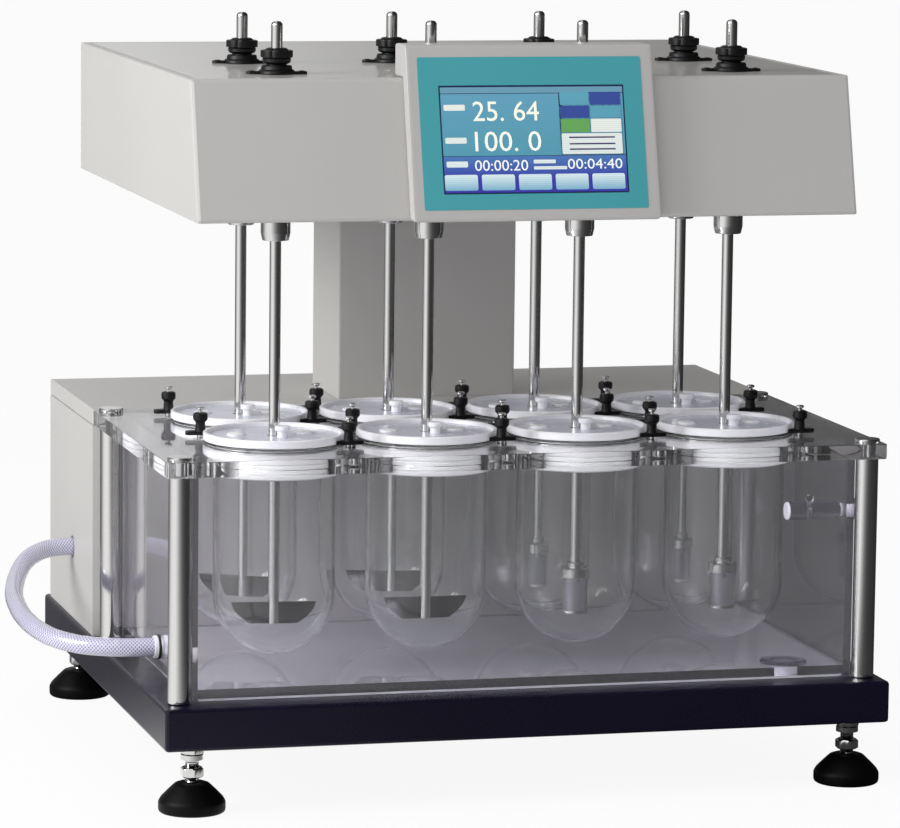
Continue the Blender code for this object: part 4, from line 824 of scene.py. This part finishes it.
# %% [markdown]
# ## Glass vessels
# A vessel is a glass cylinder with a round bottom and a rim that rests on the plate, and a white
# ridged collar centres it in its hole. The wall has an inside and an outside, because the bend of
# light between the two draws the bright outlines that make glass look like glass.

# %% Vessels
VESSEL_RADIUS, VESSEL_WALL = 0.0535, 0.0025
VESSEL_BOTTOM = 0.1177
VESSEL_NECK = mm((53.5, 303.4), (54.5, 304.4), (60.5, 304.4), (61, 305), (61, 305.7),
                 (60.4, 306.3), (51.8, 306.3), (51, 305.5))
BOTTOM_STEPS = 16
COLLAR_LOW = 0.2788
COLLAR_START = mm((53.65, 304.2), (53.65, 278.8), (57.6, 278.8))
RIDGES = 5
RIDGE_PITCH = 0.00508
RIDGE = mm((58.8, 1.2), (58.8, 4.18), (57.8, 4.98))

bottom_centre = (0, VESSEL_BOTTOM + VESSEL_RADIUS)
outside = arc(bottom_centre, VESSEL_RADIUS, -90, 0, BOTTOM_STEPS)
inside = arc(bottom_centre, VESSEL_RADIUS - VESSEL_WALL, 0, -90, BOTTOM_STEPS)
outside[0] = (0, VESSEL_BOTTOM)
inside[-1] = (0, VESSEL_BOTTOM + VESSEL_WALL)
collar = [(radius, COLLAR_LOW + ridge * RIDGE_PITCH + rise)
          for ridge in range(RIDGES) for radius, rise in RIDGE]
vessel = Shape(GLASS).turned(outside + VESSEL_NECK + inside, WIDE_SIDES)
vessel.use(COLLAR_WHITE).turned(COLLAR_START + collar, WIDE_SIDES)
add_each(STATIONS, "glass_vessel_{}", vessel.finished("glass_vessel"), "stand",
         "vessel_{}")

# %% [markdown]
# ## Lids
# Each white lid has a raised rim, a sunk face whose bluish grey is painted shade and reflection,
# a mushroom stopper in the sampling port and two flat plugs. The stirrer passes through the middle.

# %% Lids
LID_PROFILE = lathe(6.2, (49, 303.7), (49.8, 304.5), (49.8, 306.6), (61.2, 306.6), (62, 307.4),
                    (62, 312.7), (61.1, 313.6), (59, 313.6), (58, 312.8), (57.4, 310.1))
RECESS_PROFILE = lathe(7, (57, 310.15), (56.6, 310.4))
STOPPER_SPOT = (0.004, -0.0145)
STOPPER_PROFILE = lathe(0, (4.5, 310.45), (4.5, 316), (6, 316.3), (6.5, 317.2), (6.5, 319.6),
                        (5.8, 320.5))
PLUG_SPOTS = ((-0.033, 0.006), (0.027, 0.006))
PLUG_PROFILE = mm((0, 310.45), (8, 310.45), (7.8, 311.7), (6.6, 312.3), (0, 312.4))
lid = Shape(LID_WHITE).turned(LID_PROFILE, WIDE_SIDES)
# A thin disc over the sunk face carries the painted shade and reflection.
lid.use(LID_RECESS_SHADE).turned(RECESS_PROFILE, WIDE_SIDES)
lid.use(LID_WHITE).turned(STOPPER_PROFILE, ROD_SIDES, at(*STOPPER_SPOT))
for spot in PLUG_SPOTS:
    lid.turned(PLUG_PROFILE, ROD_SIDES, at(*spot))
add_each(STATIONS, "white_lid_{}", lid.finished("vessel_lid"), "lid_{}",
         "vessel_lid_{}")

# %% [markdown]
# ## Stirrers
# Four places have a paddle and four a basket. Every shaft is a polished rod with a rounded top. A
# paddle is a flat blade whose sides follow the vessel's round bottom. A basket is a small drum of
# steel mesh in a plated cap with three spring clips.

# %% Mesh finish
WEFT_SCALE, WARP_SCALE = 360, 300


def woven_mesh():
    finish = new_finish("basket_mesh")
    weft = finish.bands("Z", finish.place(), WEFT_SCALE)
    warp = finish.bands("DIAGONAL", finish.place(), WARP_SCALE)
    threads = weft * 0.5 + warp * 0.5
    color = finish.blend(threads, tint(92, 90, 98), tint(172, 170, 180))
    normal = finish.bump(threads, 0.00012)
    return finish.skin(base_color=color, metallic=0.55, roughness=0.42, normal=normal)


BASKET_MESH = woven_mesh()
print("mesh", BASKET_MESH.name)

# %% Paddles
SHAFT_RADIUS, SHAFT_EDGE = 0.005, 0.0004
SHAFT_TOP, TIP, TIP_STEPS = 0.670, 0.0035, 6
BLADE_LOW, BLADE_TOP = 0.1446, 0.1636
BLADE_HALF_BOTTOM, BLADE_HALF_TOP = 0.021, 0.03725
BLADE_BULGE, BLADE_STEPS = 0.0035, 8
BLADE_HALF_THICKNESS, BLADE_EDGE = 0.002, 0.0004
BLADE_TURNS = {1: -7, 2: 0, 3: -25, 4: -11}
UPRIGHT = Matrix.Rotation(math.pi / 2, 4, "X")


def shaft_profile(low):
    tip = arc((SHAFT_RADIUS - TIP, SHAFT_TOP - TIP), TIP, 0, 90, TIP_STEPS)
    return [(0, low), (SHAFT_RADIUS - SHAFT_EDGE, low), (SHAFT_RADIUS, low + SHAFT_EDGE), *tip,
            (0, SHAFT_TOP)]


def blade_side(sign):
    """One side of the blade, from its foot to its top, bulging outward."""
    points = []
    for step in range(BLADE_STEPS + 1):
        share = step / BLADE_STEPS
        width = BLADE_HALF_BOTTOM + (BLADE_HALF_TOP - BLADE_HALF_BOTTOM) * share
        bulge = BLADE_BULGE * math.sin(math.pi * share)
        points.append((sign * (width + bulge), BLADE_LOW + (BLADE_TOP - BLADE_LOW) * share))
    return points


outline = blade_side(1) + blade_side(-1)[::-1]
for number, paddle_number in PADDLE_PLACES.items():
    paddle = Shape(SHAFT_STEEL).turned(shaft_profile(BLADE_LOW), ROD_SIDES)
    turn = Matrix.Rotation(math.radians(BLADE_TURNS[paddle_number]), 4, "Z")
    paddle.use(BLADE_STEEL).slab([outline], -BLADE_HALF_THICKNESS, BLADE_HALF_THICKNESS,
                                 BLADE_EDGE, turn @ UPRIGHT)
    name = f"paddle_shaft_{paddle_number}"
    add(f"stirring_paddle_{paddle_number}", paddle.finished(name), f"stirrer_{number}",
        [name], (*STATIONS[number - 1], 0))
print("paddles", len(PADDLE_PLACES))

# %% Baskets
BASKET_RIM = lathe(0, (10.6, 144.6), (11.2, 145.2), (11.2, 147.4), (10.9, 147.8))
BASKET_CAP = lathe(0, (12.2, 176.8), (12.8, 177.4), (12.8, 184.6), (12, 185.6), (8, 185.8),
                   (7.5, 186.6), (7.5, 190), (6.8, 190.6))
BASKET_DRUM = lathe(0, (10.9, 147.8), (11, 150), (11, 174.5), (10.9, 176.8))
BASKET_SHAFT_LOW = 0.1900
CLIP_TURNS = (20, 140, 260)
CLIP_BOX = rounded_box(0.01145, 0.01275, -0.0016, 0.0016, 0.0004, 2)
CLIP = (0.1735, 0.1767, 0.0002)
basket = Shape(SHAFT_STEEL).turned(shaft_profile(BASKET_SHAFT_LOW), ROD_SIDES)
basket.use(CHROME).turned(BASKET_RIM).turned(BASKET_CAP)
basket.use(BASKET_MESH).turned(BASKET_DRUM).use(CHROME)
for turn in CLIP_TURNS:
    spin = Matrix.Rotation(math.radians(turn), 4, "Z")
    basket.slab([CLIP_BOX], *CLIP, spin)
basket_mesh = basket.finished("basket_shaft")
for number, basket_number in BASKET_PLACES.items():
    add(f"stirring_basket_{basket_number}", basket_mesh, f"stirrer_{number}",
        [f"basket_shaft_{basket_number}"], (*STATIONS[number - 1], 0))
print("baskets", len(BASKET_PLACES))

# %% [markdown]
# ## Spindles, knobs and bearings
# Under the head each spindle ends in a plated ferrule, and above it in a black knob that grips the
# shaft. The knob has a lobed grip over a smooth ring. It turns over a stepped black bearing with
# two thin ears, screwed to the top cover.

# %% Spindles
BORE = 0.0058
FERRULE = lathe(5.8, (11.2, 480.8), (11.7, 481.4), (12.9, 486.8), (13, 488), (13, 504),
                (12.4, 504.7))
PULLEY = lathe(5.8, (8, 504.7), (8, 578.5), (20, 578.5), (20, 591.5), (8, 591.5), (8, 620))
KNOB_RING = lathe(5.8, (8.6, 620.2), (8.6, 633), (11.2, 634), (12.2, 635.2), (12.4, 637.8),
                  (11.6, 638.8))
KNOB_CROWN = lathe(5.8, (10.5, 645.2), (8.8, 646.6), (7.8, 647))
GRIP = (0.6389, 0.6451, 0.0007)
GRIP_RADIUS = 0.0140
GRIP_LOBES, GRIP_NOTCH, GRIP_POINTS, NOTCH_POWER = 6, 0.0011, 72, 6

grip = []
for x, y, z in circle(1, GRIP_POINTS):
    notch = GRIP_NOTCH * max(0, math.cos(GRIP_LOBES * math.atan2(y, x))) ** NOTCH_POWER
    grip.append(((GRIP_RADIUS - notch) * x, (GRIP_RADIUS - notch) * y))
spindle = Shape(CHROME).turned(FERRULE).use(SHAFT_STEEL).turned(PULLEY)
spindle.use(BLACK_NYLON).turned(KNOB_RING).turned(KNOB_CROWN)
spindle.slab([grip, circle(BORE, ROD_SIDES)], *GRIP)
add_each(STATIONS, "turning_spindle_{}", spindle.finished("drive_spindle"), "spindle_{}",
         "drive_spindle_{}")

# %% Top cover and bearings
COVER = (0.6212, 0.6245, 0.0006)
COVER_BOX = rounded_box(-0.2849, 0.2849, -0.2246, 0.2639, 0.004)
SPINDLE_HOLE = 0.0095
BEARING = lathe(9.5, (15.4, 624.55), (15.8, 625), (15.8, 626.8), (15, 628), (13.6, 628.6),
                (13.2, 631.2), (12.4, 632.1))
EAR_BOX = rounded_box(-0.0265, 0.0265, -0.0045, 0.0045, 0.0042, 6)
EAR_BORE = 0.0145
EARS = (0.62455, 0.6269, 0.0004)
EAR_TURN = Matrix.Rotation(math.radians(-7), 4, "Z")
EAR_SCREW = lathe(0, (2.8, 626.9), (2.4, 627.4), (1.2, 627.6))
EAR_SCREW_REACH = 0.0218
holes = [circle(SPINDLE_HOLE, ROUND_SIDES, 0, place) for place in STATIONS]
cover = Shape(COVER_PAINT).slab([COVER_BOX] + holes, *COVER)
add("head_top_cover", cover, "head", ["head_cover"])

bearing = Shape(BLACK_NYLON).turned(BEARING)
bearing.slab([EAR_BOX, circle(EAR_BORE, ROUND_SIDES)], *EARS, EAR_TURN)
for x in (-EAR_SCREW_REACH, EAR_SCREW_REACH):
    bearing.turned(EAR_SCREW, SCREW_SIDES, EAR_TURN @ at(x))
add_each(STATIONS, "bearing_flange_{}", bearing.finished("bearing_flange"), "head")

# %% [markdown]
# ## The control panel
# The panel is a teal film on the leaning front of its housing, with the lit screen let into it.
# The screen shows plain figures, coloured fields and a row of buttons. The maker's words are left
# off. All of it is laid out on the leaning face as shares of the screen's width and height.

# %% Panel finishes
SCREEN_SPOT = (0, -0.263288, 0.573598)
SCREEN_LEAN = math.atan(0.26695)
HALF_WIDTH, HALF_HEIGHT = 0.0820, 0.04675
BUTTON_SPAN = (0.824, 0.970)
RASTER_SCALE, RASTER_SHARE = 190, 0.12
TONES = {"edge": ((36, 44, 88), (36, 44, 88), 0.1),
         "header": ((108, 158, 180), (104, 156, 178)),
         "field": ((100, 162, 190), (86, 156, 176), 0.22, (0.065, 0.655)),
         "lower": ((78, 122, 184), (60, 58, 168), 0.22, (0.650, 0.860)),
         "dark": ((58, 80, 156), (56, 74, 150)),
         "teal": ((96, 168, 188), (84, 150, 178)),
         "green": ((104, 168, 92), (104, 168, 92)),
         "pale": ((232, 232, 222), (210, 226, 226), 0.3),
         "button": ((212, 232, 236), (100, 166, 196), 0.25, BUTTON_SPAN),
         "figures": ((240, 240, 214), (236, 240, 240), 0.4),
         "ink": ((70, 60, 110), (70, 60, 110), 0.1)}


def film():
    finish = new_finish("teal_film")
    color = finish.blend(finish.noise(9), tint(66, 164, 174), tint(73, 170, 178))
    return finish.skin(base_color=color, roughness=0.38, coat_weight=0.3, coat_roughness=0.25,
                       normal=finish.bump(finish.noise(1800, 1), 0.00001))


def lit(name, top, bottom, glow=0.22, span=(0.0, 1.0)):
    """A lit field that shades between two colours over a span of the screen's height."""
    finish = new_finish(name)
    spot = finish.node("ShaderNodeTexCoord", output="Object")
    height = finish.part(spot, "Z")
    raster = finish.bands("Z", spot, RASTER_SCALE)
    rise = (height - SCREEN_SPOT[2]) * (0.5 / HALF_HEIGHT) + 0.5
    fade = (rise - (1 - span[1])) * (1 / (span[1] - span[0]))
    color = finish.blend(fade, tint(*bottom), tint(*top))
    color = finish.blend(raster * RASTER_SHARE, color, tint(20, 40, 70))
    return finish.skin(base_color=color, roughness=0.22, emission_color=color,
                       emission_strength=glow, coat_weight=0.4, coat_roughness=0.05)


TEAL_FILM = film()
SCREEN = {name: lit("screen_" + name, *tone) for name, tone in TONES.items()}
print("screen finishes", len(SCREEN))

# %% Panel film and screen
FACE = at(*SCREEN_SPOT) @ Matrix.Rotation(math.pi / 2 - SCREEN_LEAN, 4, "X")
FILM_BOX = rounded_box(-0.0999, 0.0989, -0.0607, 0.0717, 0.0016)
FILM = (0.00003, 0.0003, 0.00005)
WINDOW = rounded_box(-0.0823, 0.0823, -0.04705, 0.04705, 0.001)
GLASS_BOX = rounded_box(-HALF_WIDTH, HALF_WIDTH, -HALF_HEIGHT, HALF_HEIGHT, 0.0008)
SCREEN_GLASS = (-0.0055, 0.0003, 0.0001)
FIELD_BASE, FIELD_STEP, FIELD_THICKNESS, FIELD_EDGE = 0.00031, 0.00005, 0.00004, 0.00001
FIGURE_HEIGHT, FIGURE_THICKNESS = 0.0005, 0.00006
BUTTONS, BUTTON_START, BUTTON_PITCH, BUTTON_WIDTH = 5, 0.006, 0.1995, 0.178
BUTTON_ROUND, LABEL_ROUND = 0.12, 0.2
LARGE_FIELDS = (
    ("header", 0.006, 0.994, 0.014, 0.070), ("field", 0.006, 0.994, 0.076, 0.650, 0.01),
    ("lower", 0.006, 0.994, 0.655, 0.990, 0.01), ("edge", 0.643, 0.986, 0.066, 0.648, 0.01))
SMALL_FIELDS = (
    ("teal", 0.650, 0.807, 0.065, 0.185), ("dark", 0.813, 0.979, 0.065, 0.185),
    ("dark", 0.650, 0.807, 0.194, 0.306), ("teal", 0.813, 0.979, 0.194, 0.306),
    ("green", 0.650, 0.807, 0.315, 0.440), ("pale", 0.813, 0.979, 0.315, 0.440),
    ("pale", 0.650, 0.979, 0.449, 0.642))
LABELS = ((0.020, 0.135, 0.175, 0.230), (0.020, 0.135, 0.480, 0.535),
          (0.020, 0.135, 0.700, 0.755), (0.490, 0.610, 0.690, 0.725),
          (0.490, 0.670, 0.752, 0.782))
INK_SIDES, INK_HEIGHT, INK_TOPS = (0.690, 0.940), 0.014, (0.480, 0.540, 0.590)
FIGURES = (("25. 64", 0.176, 0.533, 0.146, 0.329), ("100. 0", 0.180, 0.537, 0.425, 0.610),
           ("00:00:20", 0.172, 0.459, 0.690, 0.790), ("00:04:40", 0.675, 0.972, 0.686, 0.780))
panel = Shape(TEAL_FILM).slab([FILM_BOX, WINDOW], *FILM, FACE)
add("panel_film", panel, "head")
screen = Shape(SCREEN["edge"]).slab([GLASS_BOX], *SCREEN_GLASS, FACE)


def field(tone, left, right, top, bottom, round_share=0.06, layer=1):
    """A coloured field, given as shares of the screen from its top left corner."""
    x0, x1 = (HALF_WIDTH * (2 * share - 1) for share in (left, right))
    y1, y0 = (HALF_HEIGHT * (1 - 2 * share) for share in (top, bottom))
    base = FIELD_BASE + layer * FIELD_STEP
    corner = min(x1 - x0, y1 - y0) * round_share
    screen.use(SCREEN[tone]).slab([rounded_box(x0, x1, y0, y1, corner, 3)], base,
                                  base + FIELD_THICKNESS, FIELD_EDGE, FACE)


def figures(text, left, right, top, bottom):
    """Figures stretched to fill a part of the screen."""
    centre = (HALF_WIDTH * (left + right - 1), HALF_HEIGHT * (1 - top - bottom), FIGURE_HEIGHT)
    screen.use(SCREEN["figures"]).words(text, 2 * HALF_WIDTH * (right - left),
                                        2 * HALF_HEIGHT * (bottom - top), FIGURE_THICKNESS,
                                        FACE @ at(*centre))


for row in LARGE_FIELDS:
    field(*row)
for row in SMALL_FIELDS:
    field(*row, layer=2)
for index in range(BUTTONS):
    start = BUTTON_START + index * BUTTON_PITCH
    field("button", start, start + BUTTON_WIDTH, *BUTTON_SPAN, BUTTON_ROUND, 2)
for sides in LABELS:
    field("pale", *sides, LABEL_ROUND, 2)
for top in INK_TOPS:
    field("ink", *INK_SIDES, top, top + INK_HEIGHT, LABEL_ROUND, 3)
for row in FIGURES:
    figures(*row)
add("lit_screen", screen, "head", ["touch_screen"])
print("screen buttons", BUTTONS)

# %% [markdown]
# ## Hose fitting and level probe
# The hose slips over a white collar with a black gasket, and a nut holds the fitting inside the
# bath. On the right wall a clear level probe lies in the water, with a float on its end. Both lie
# along X, so their profiles' heights are places along the part's width.

# %% Fitting and probe
ALONG_X = Matrix.Rotation(math.pi / 2, 4, "Y")
FITTING_PLACE = at(0, -0.128, 0.1185) @ ALONG_X
FITTING = (
    (FITTING_WHITE, TUBE_SIDES, lathe(5, (9.6, -303.1), (10, -302.7), (10, -299.6))),
    (FITTING_WHITE, TUBE_SIDES, lathe(5, (7.2, -297), (7.2, -284.7))),
    (FITTING_WHITE, HEXAGON, lathe(7.4, (9.6, -290.7), (10, -290.2), (10, -285.2), (9.6, -284.7))),
    (BELT_RUBBER, TUBE_SIDES, lathe(5, (10.6, -299.5), (11, -299), (11, -297.8), (10.6, -297.3))))
PROBE_PLACE = at(0, -0.239, 0.241) @ ALONG_X
PROBE_PIN = (0.0036, -0.004, 0.004, 0.0006)
PROBE_PIN_PLACE = at(0.2636, -0.239, 0.2515) @ UPRIGHT
PROBE = (
    (SENSOR_TUBE, TUBE_SIDES, lathe(0, (7, 264), (7.8, 265), (7.8, 290), (7, 290.7))),
    (SENSOR_TUBE, TUBE_SIDES, lathe(0, (7.8, 244), (8.2, 244.8), (8.2, 262.6), (7.6, 263.4))),
    (SENSOR_TUBE, HEXAGON, lathe(0, (10, 297.4), (10.5, 297.9), (10.5, 305.7), (9.8, 306.3))),
    (FITTING_WHITE, TUBE_SIDES, lathe(0, (7.2, 241.8), (7.8, 242.4), (7.8, 243.6))),
    (FITTING_WHITE, ROD_SIDES, lathe(0, (5.8, 290.8), (5.8, 297.2))))
fitting = Shape(FITTING_WHITE).stack(FITTING, FITTING_PLACE)
add("hose_fitting", fitting, "stand", ["tank_hose_fitting"])
probe = Shape(SENSOR_TUBE).rod(*PROBE_PIN, place=PROBE_PIN_PLACE).stack(PROBE, PROBE_PLACE)
add("level_probe", probe, "stand", ["level_sensor"])
print("fitting and probe placed")

# %% [markdown]
# ## Mains inlet
# The socket on the cabinet's back has three flat pins on its floor, and a small screw at each end
# of its flange. They lie along Y, which a quarter turn about X gives.

# %% Inlet
INLET_Z = 0.150
PIN_SPOTS = ((0.2455, 0.154), (0.2385, 0.147), (0.2525, 0.147))
PIN_BOX = rounded_box(-0.001, 0.001, -0.002, 0.002, 0.0004, 2)
PIN = (0.2634, 0.2755, 0.0003)
MODULE_SCREW_XS = (0.1979, 0.2617)
MODULE_SCREW = lathe(0, (1.8, 279.35), (1.6, 279.9), (0.6, 280.1))
TO_REAR = Matrix.Rotation(-math.pi / 2, 4, "X")
inlet = Shape(CHROME)
for x, z in PIN_SPOTS:
    inlet.slab([PIN_BOX], *PIN, at(x, 0, z) @ TO_REAR)
for x in MODULE_SCREW_XS:
    inlet.turned(MODULE_SCREW, SCREW_SIDES, at(x, 0, INLET_Z) @ TO_REAR)
add("inlet_pins_and_screws", inlet, "stand")
print("inlet pins", len(PIN_SPOTS), "screws", len(MODULE_SCREW_XS))

# %% [markdown]
# ## The stage
# The photograph is cut out on white. A large pale floor catches the shadow, and for camera,
# mirror and glass rays it also glows, so that the picture's ground is white without more light on
# the object. The world does the same for what looks past the floor, and it gives polished metal
# something to mirror: white to the left and behind, dark to the right.

# %% Surroundings
SURROUND = (
    (0.000, 0.88), (0.040, 1.00), (0.110, 1.00), (0.130, 0.85), (0.155, 0.66), (0.185, 0.42),
    (0.217, 0.24), (0.249, 0.13), (0.285, 0.07), (0.341, 0.04), (0.490, 0.02), (0.600, 0.03),
    (0.690, 0.05), (0.702, 0.14), (0.712, 0.40), (0.720, 0.75), (0.760, 0.55), (0.820, 0.22),
    (0.880, 0.12), (0.940, 0.38), (0.980, 0.75), (1.000, 0.88))


def from_ray(finish, kind):
    return finish.node("ShaderNodeLightPath", output=kind)


def in_view(finish):
    """One for a ray from the camera that has met nothing but mirrors and glass."""
    seen = from_ray(finish, "Is Camera Ray")
    for kind in ("Is Glossy Ray", "Is Transmission Ray"):
        seen = seen.maths("MAXIMUM", seen, from_ray(finish, kind))
    depth = from_ray(finish, "Diffuse Depth")
    return seen * (1 - depth.maths("MINIMUM", depth, 1.0))


def room(finish, spot):
    """How bright the room is, from the compass direction of a point."""
    east, north = finish.part(spot, "X"), finish.part(spot, "Y")
    turn = east.maths("ARCTAN2", north, east) * (1 / FULL_TURN) + 0.5
    stops = [(place, (level, level, level, 1)) for place, level in SURROUND]
    around = finish.node("ShaderNodeValToRGB", {"stops": stops}, {"Fac": turn})
    return finish.blend(from_ray(finish, "Is Camera Ray"), around, WHITE)


print("directions", len(SURROUND))

# %% Floor
FLOOR_HALF = 30
GROUND_GLOW = 0.92
MIRROR_GLOW = 0.06


def ground():
    finish = new_finish("pale_floor")
    pale = finish.blend(finish.noise(3), tint(238, 238, 238), tint(244, 244, 244))
    matt = finish.node("ShaderNodeBsdfDiffuse", values={"Color": pale})
    spot = finish.node("ShaderNodeTexCoord", output="Object")
    light = {"Color": room(finish, spot), "Strength": 1}
    glow = finish.node("ShaderNodeEmission", values=light)
    mirrored = MIRROR_GLOW * from_ray(finish, "Is Glossy Ray")
    mix = {0: in_view(finish) * (GROUND_GLOW + mirrored), 1: matt, 2: glow}
    return finish.done(finish.node("ShaderNodeMixShader", values=mix))


floor_mesh = bpy.data.meshes.new("floor")
corners = [(FLOOR_HALF * x, FLOOR_HALF * y, 0) for x, y in ((-1, -1), (1, -1), (1, 1), (-1, 1))]
floor_mesh.from_pydata(corners, [], [(0, 1, 2, 3)])
floor_mesh.materials.append(ground())
floor = placed(bpy.data.objects.new("floor", floor_mesh))
print("floor", 2 * FLOOR_HALF, "metres across")

# %% World
AMBIENT = 0.58
AMBIENT_BLUE = 1.02
THROUGH_GLASS = 2.7
world = bpy.data.worlds.new("studio")
bpy.context.scene.world = world
sky = Finish(world, "World")
direction = sky.node("ShaderNodeTexCoord", output="Generated")
plain = (AMBIENT, AMBIENT, AMBIENT * AMBIENT_BLUE, 1)
inner = (THROUGH_GLASS, THROUGH_GLASS, THROUGH_GLASS, 1)
light = sky.blend(from_ray(sky, "Is Transmission Ray"), plain, inner)
color = sky.blend(in_view(sky), light, room(sky, direction))
sky.done(sky.node("ShaderNodeBackground", values={"Color": color, "Strength": 1}))
print("world", world.name)

# %% Lamps
LAMPS = (("left_softbox", (-2.6, -0.6, 1.5), 60), ("front_softbox", (-1.8, -2.8, 2.0), 9))
LAMP_SIZE = 1.6
LAMP_TARGET = Vector((0, 0, 0.35))
for name, spot, power in LAMPS:
    lamp = bpy.data.lights.new(name, "AREA")
    lamp.shape = "DISK"
    lamp.size = LAMP_SIZE
    lamp.energy = power
    holder = placed(bpy.data.objects.new(name, lamp))
    holder.location = spot
    holder.rotation_euler = (LAMP_TARGET - Vector(spot)).to_track_quat("-Z", "Y").to_euler()
print("lamps", len(LAMPS))

# %% [markdown]
# ## Rays and finish
# Light passes some sixteen clear surfaces on its way through the bath, so the path limits are
# raised. The colours are shown as they are written, with the Standard view.

# %% Finish
scene = bpy.context.scene
scene.view_settings.view_transform = "Standard"
scene.cycles.max_bounces = 24
scene.cycles.transmission_bounces = 20
scene.cycles.transparent_max_bounces = 24
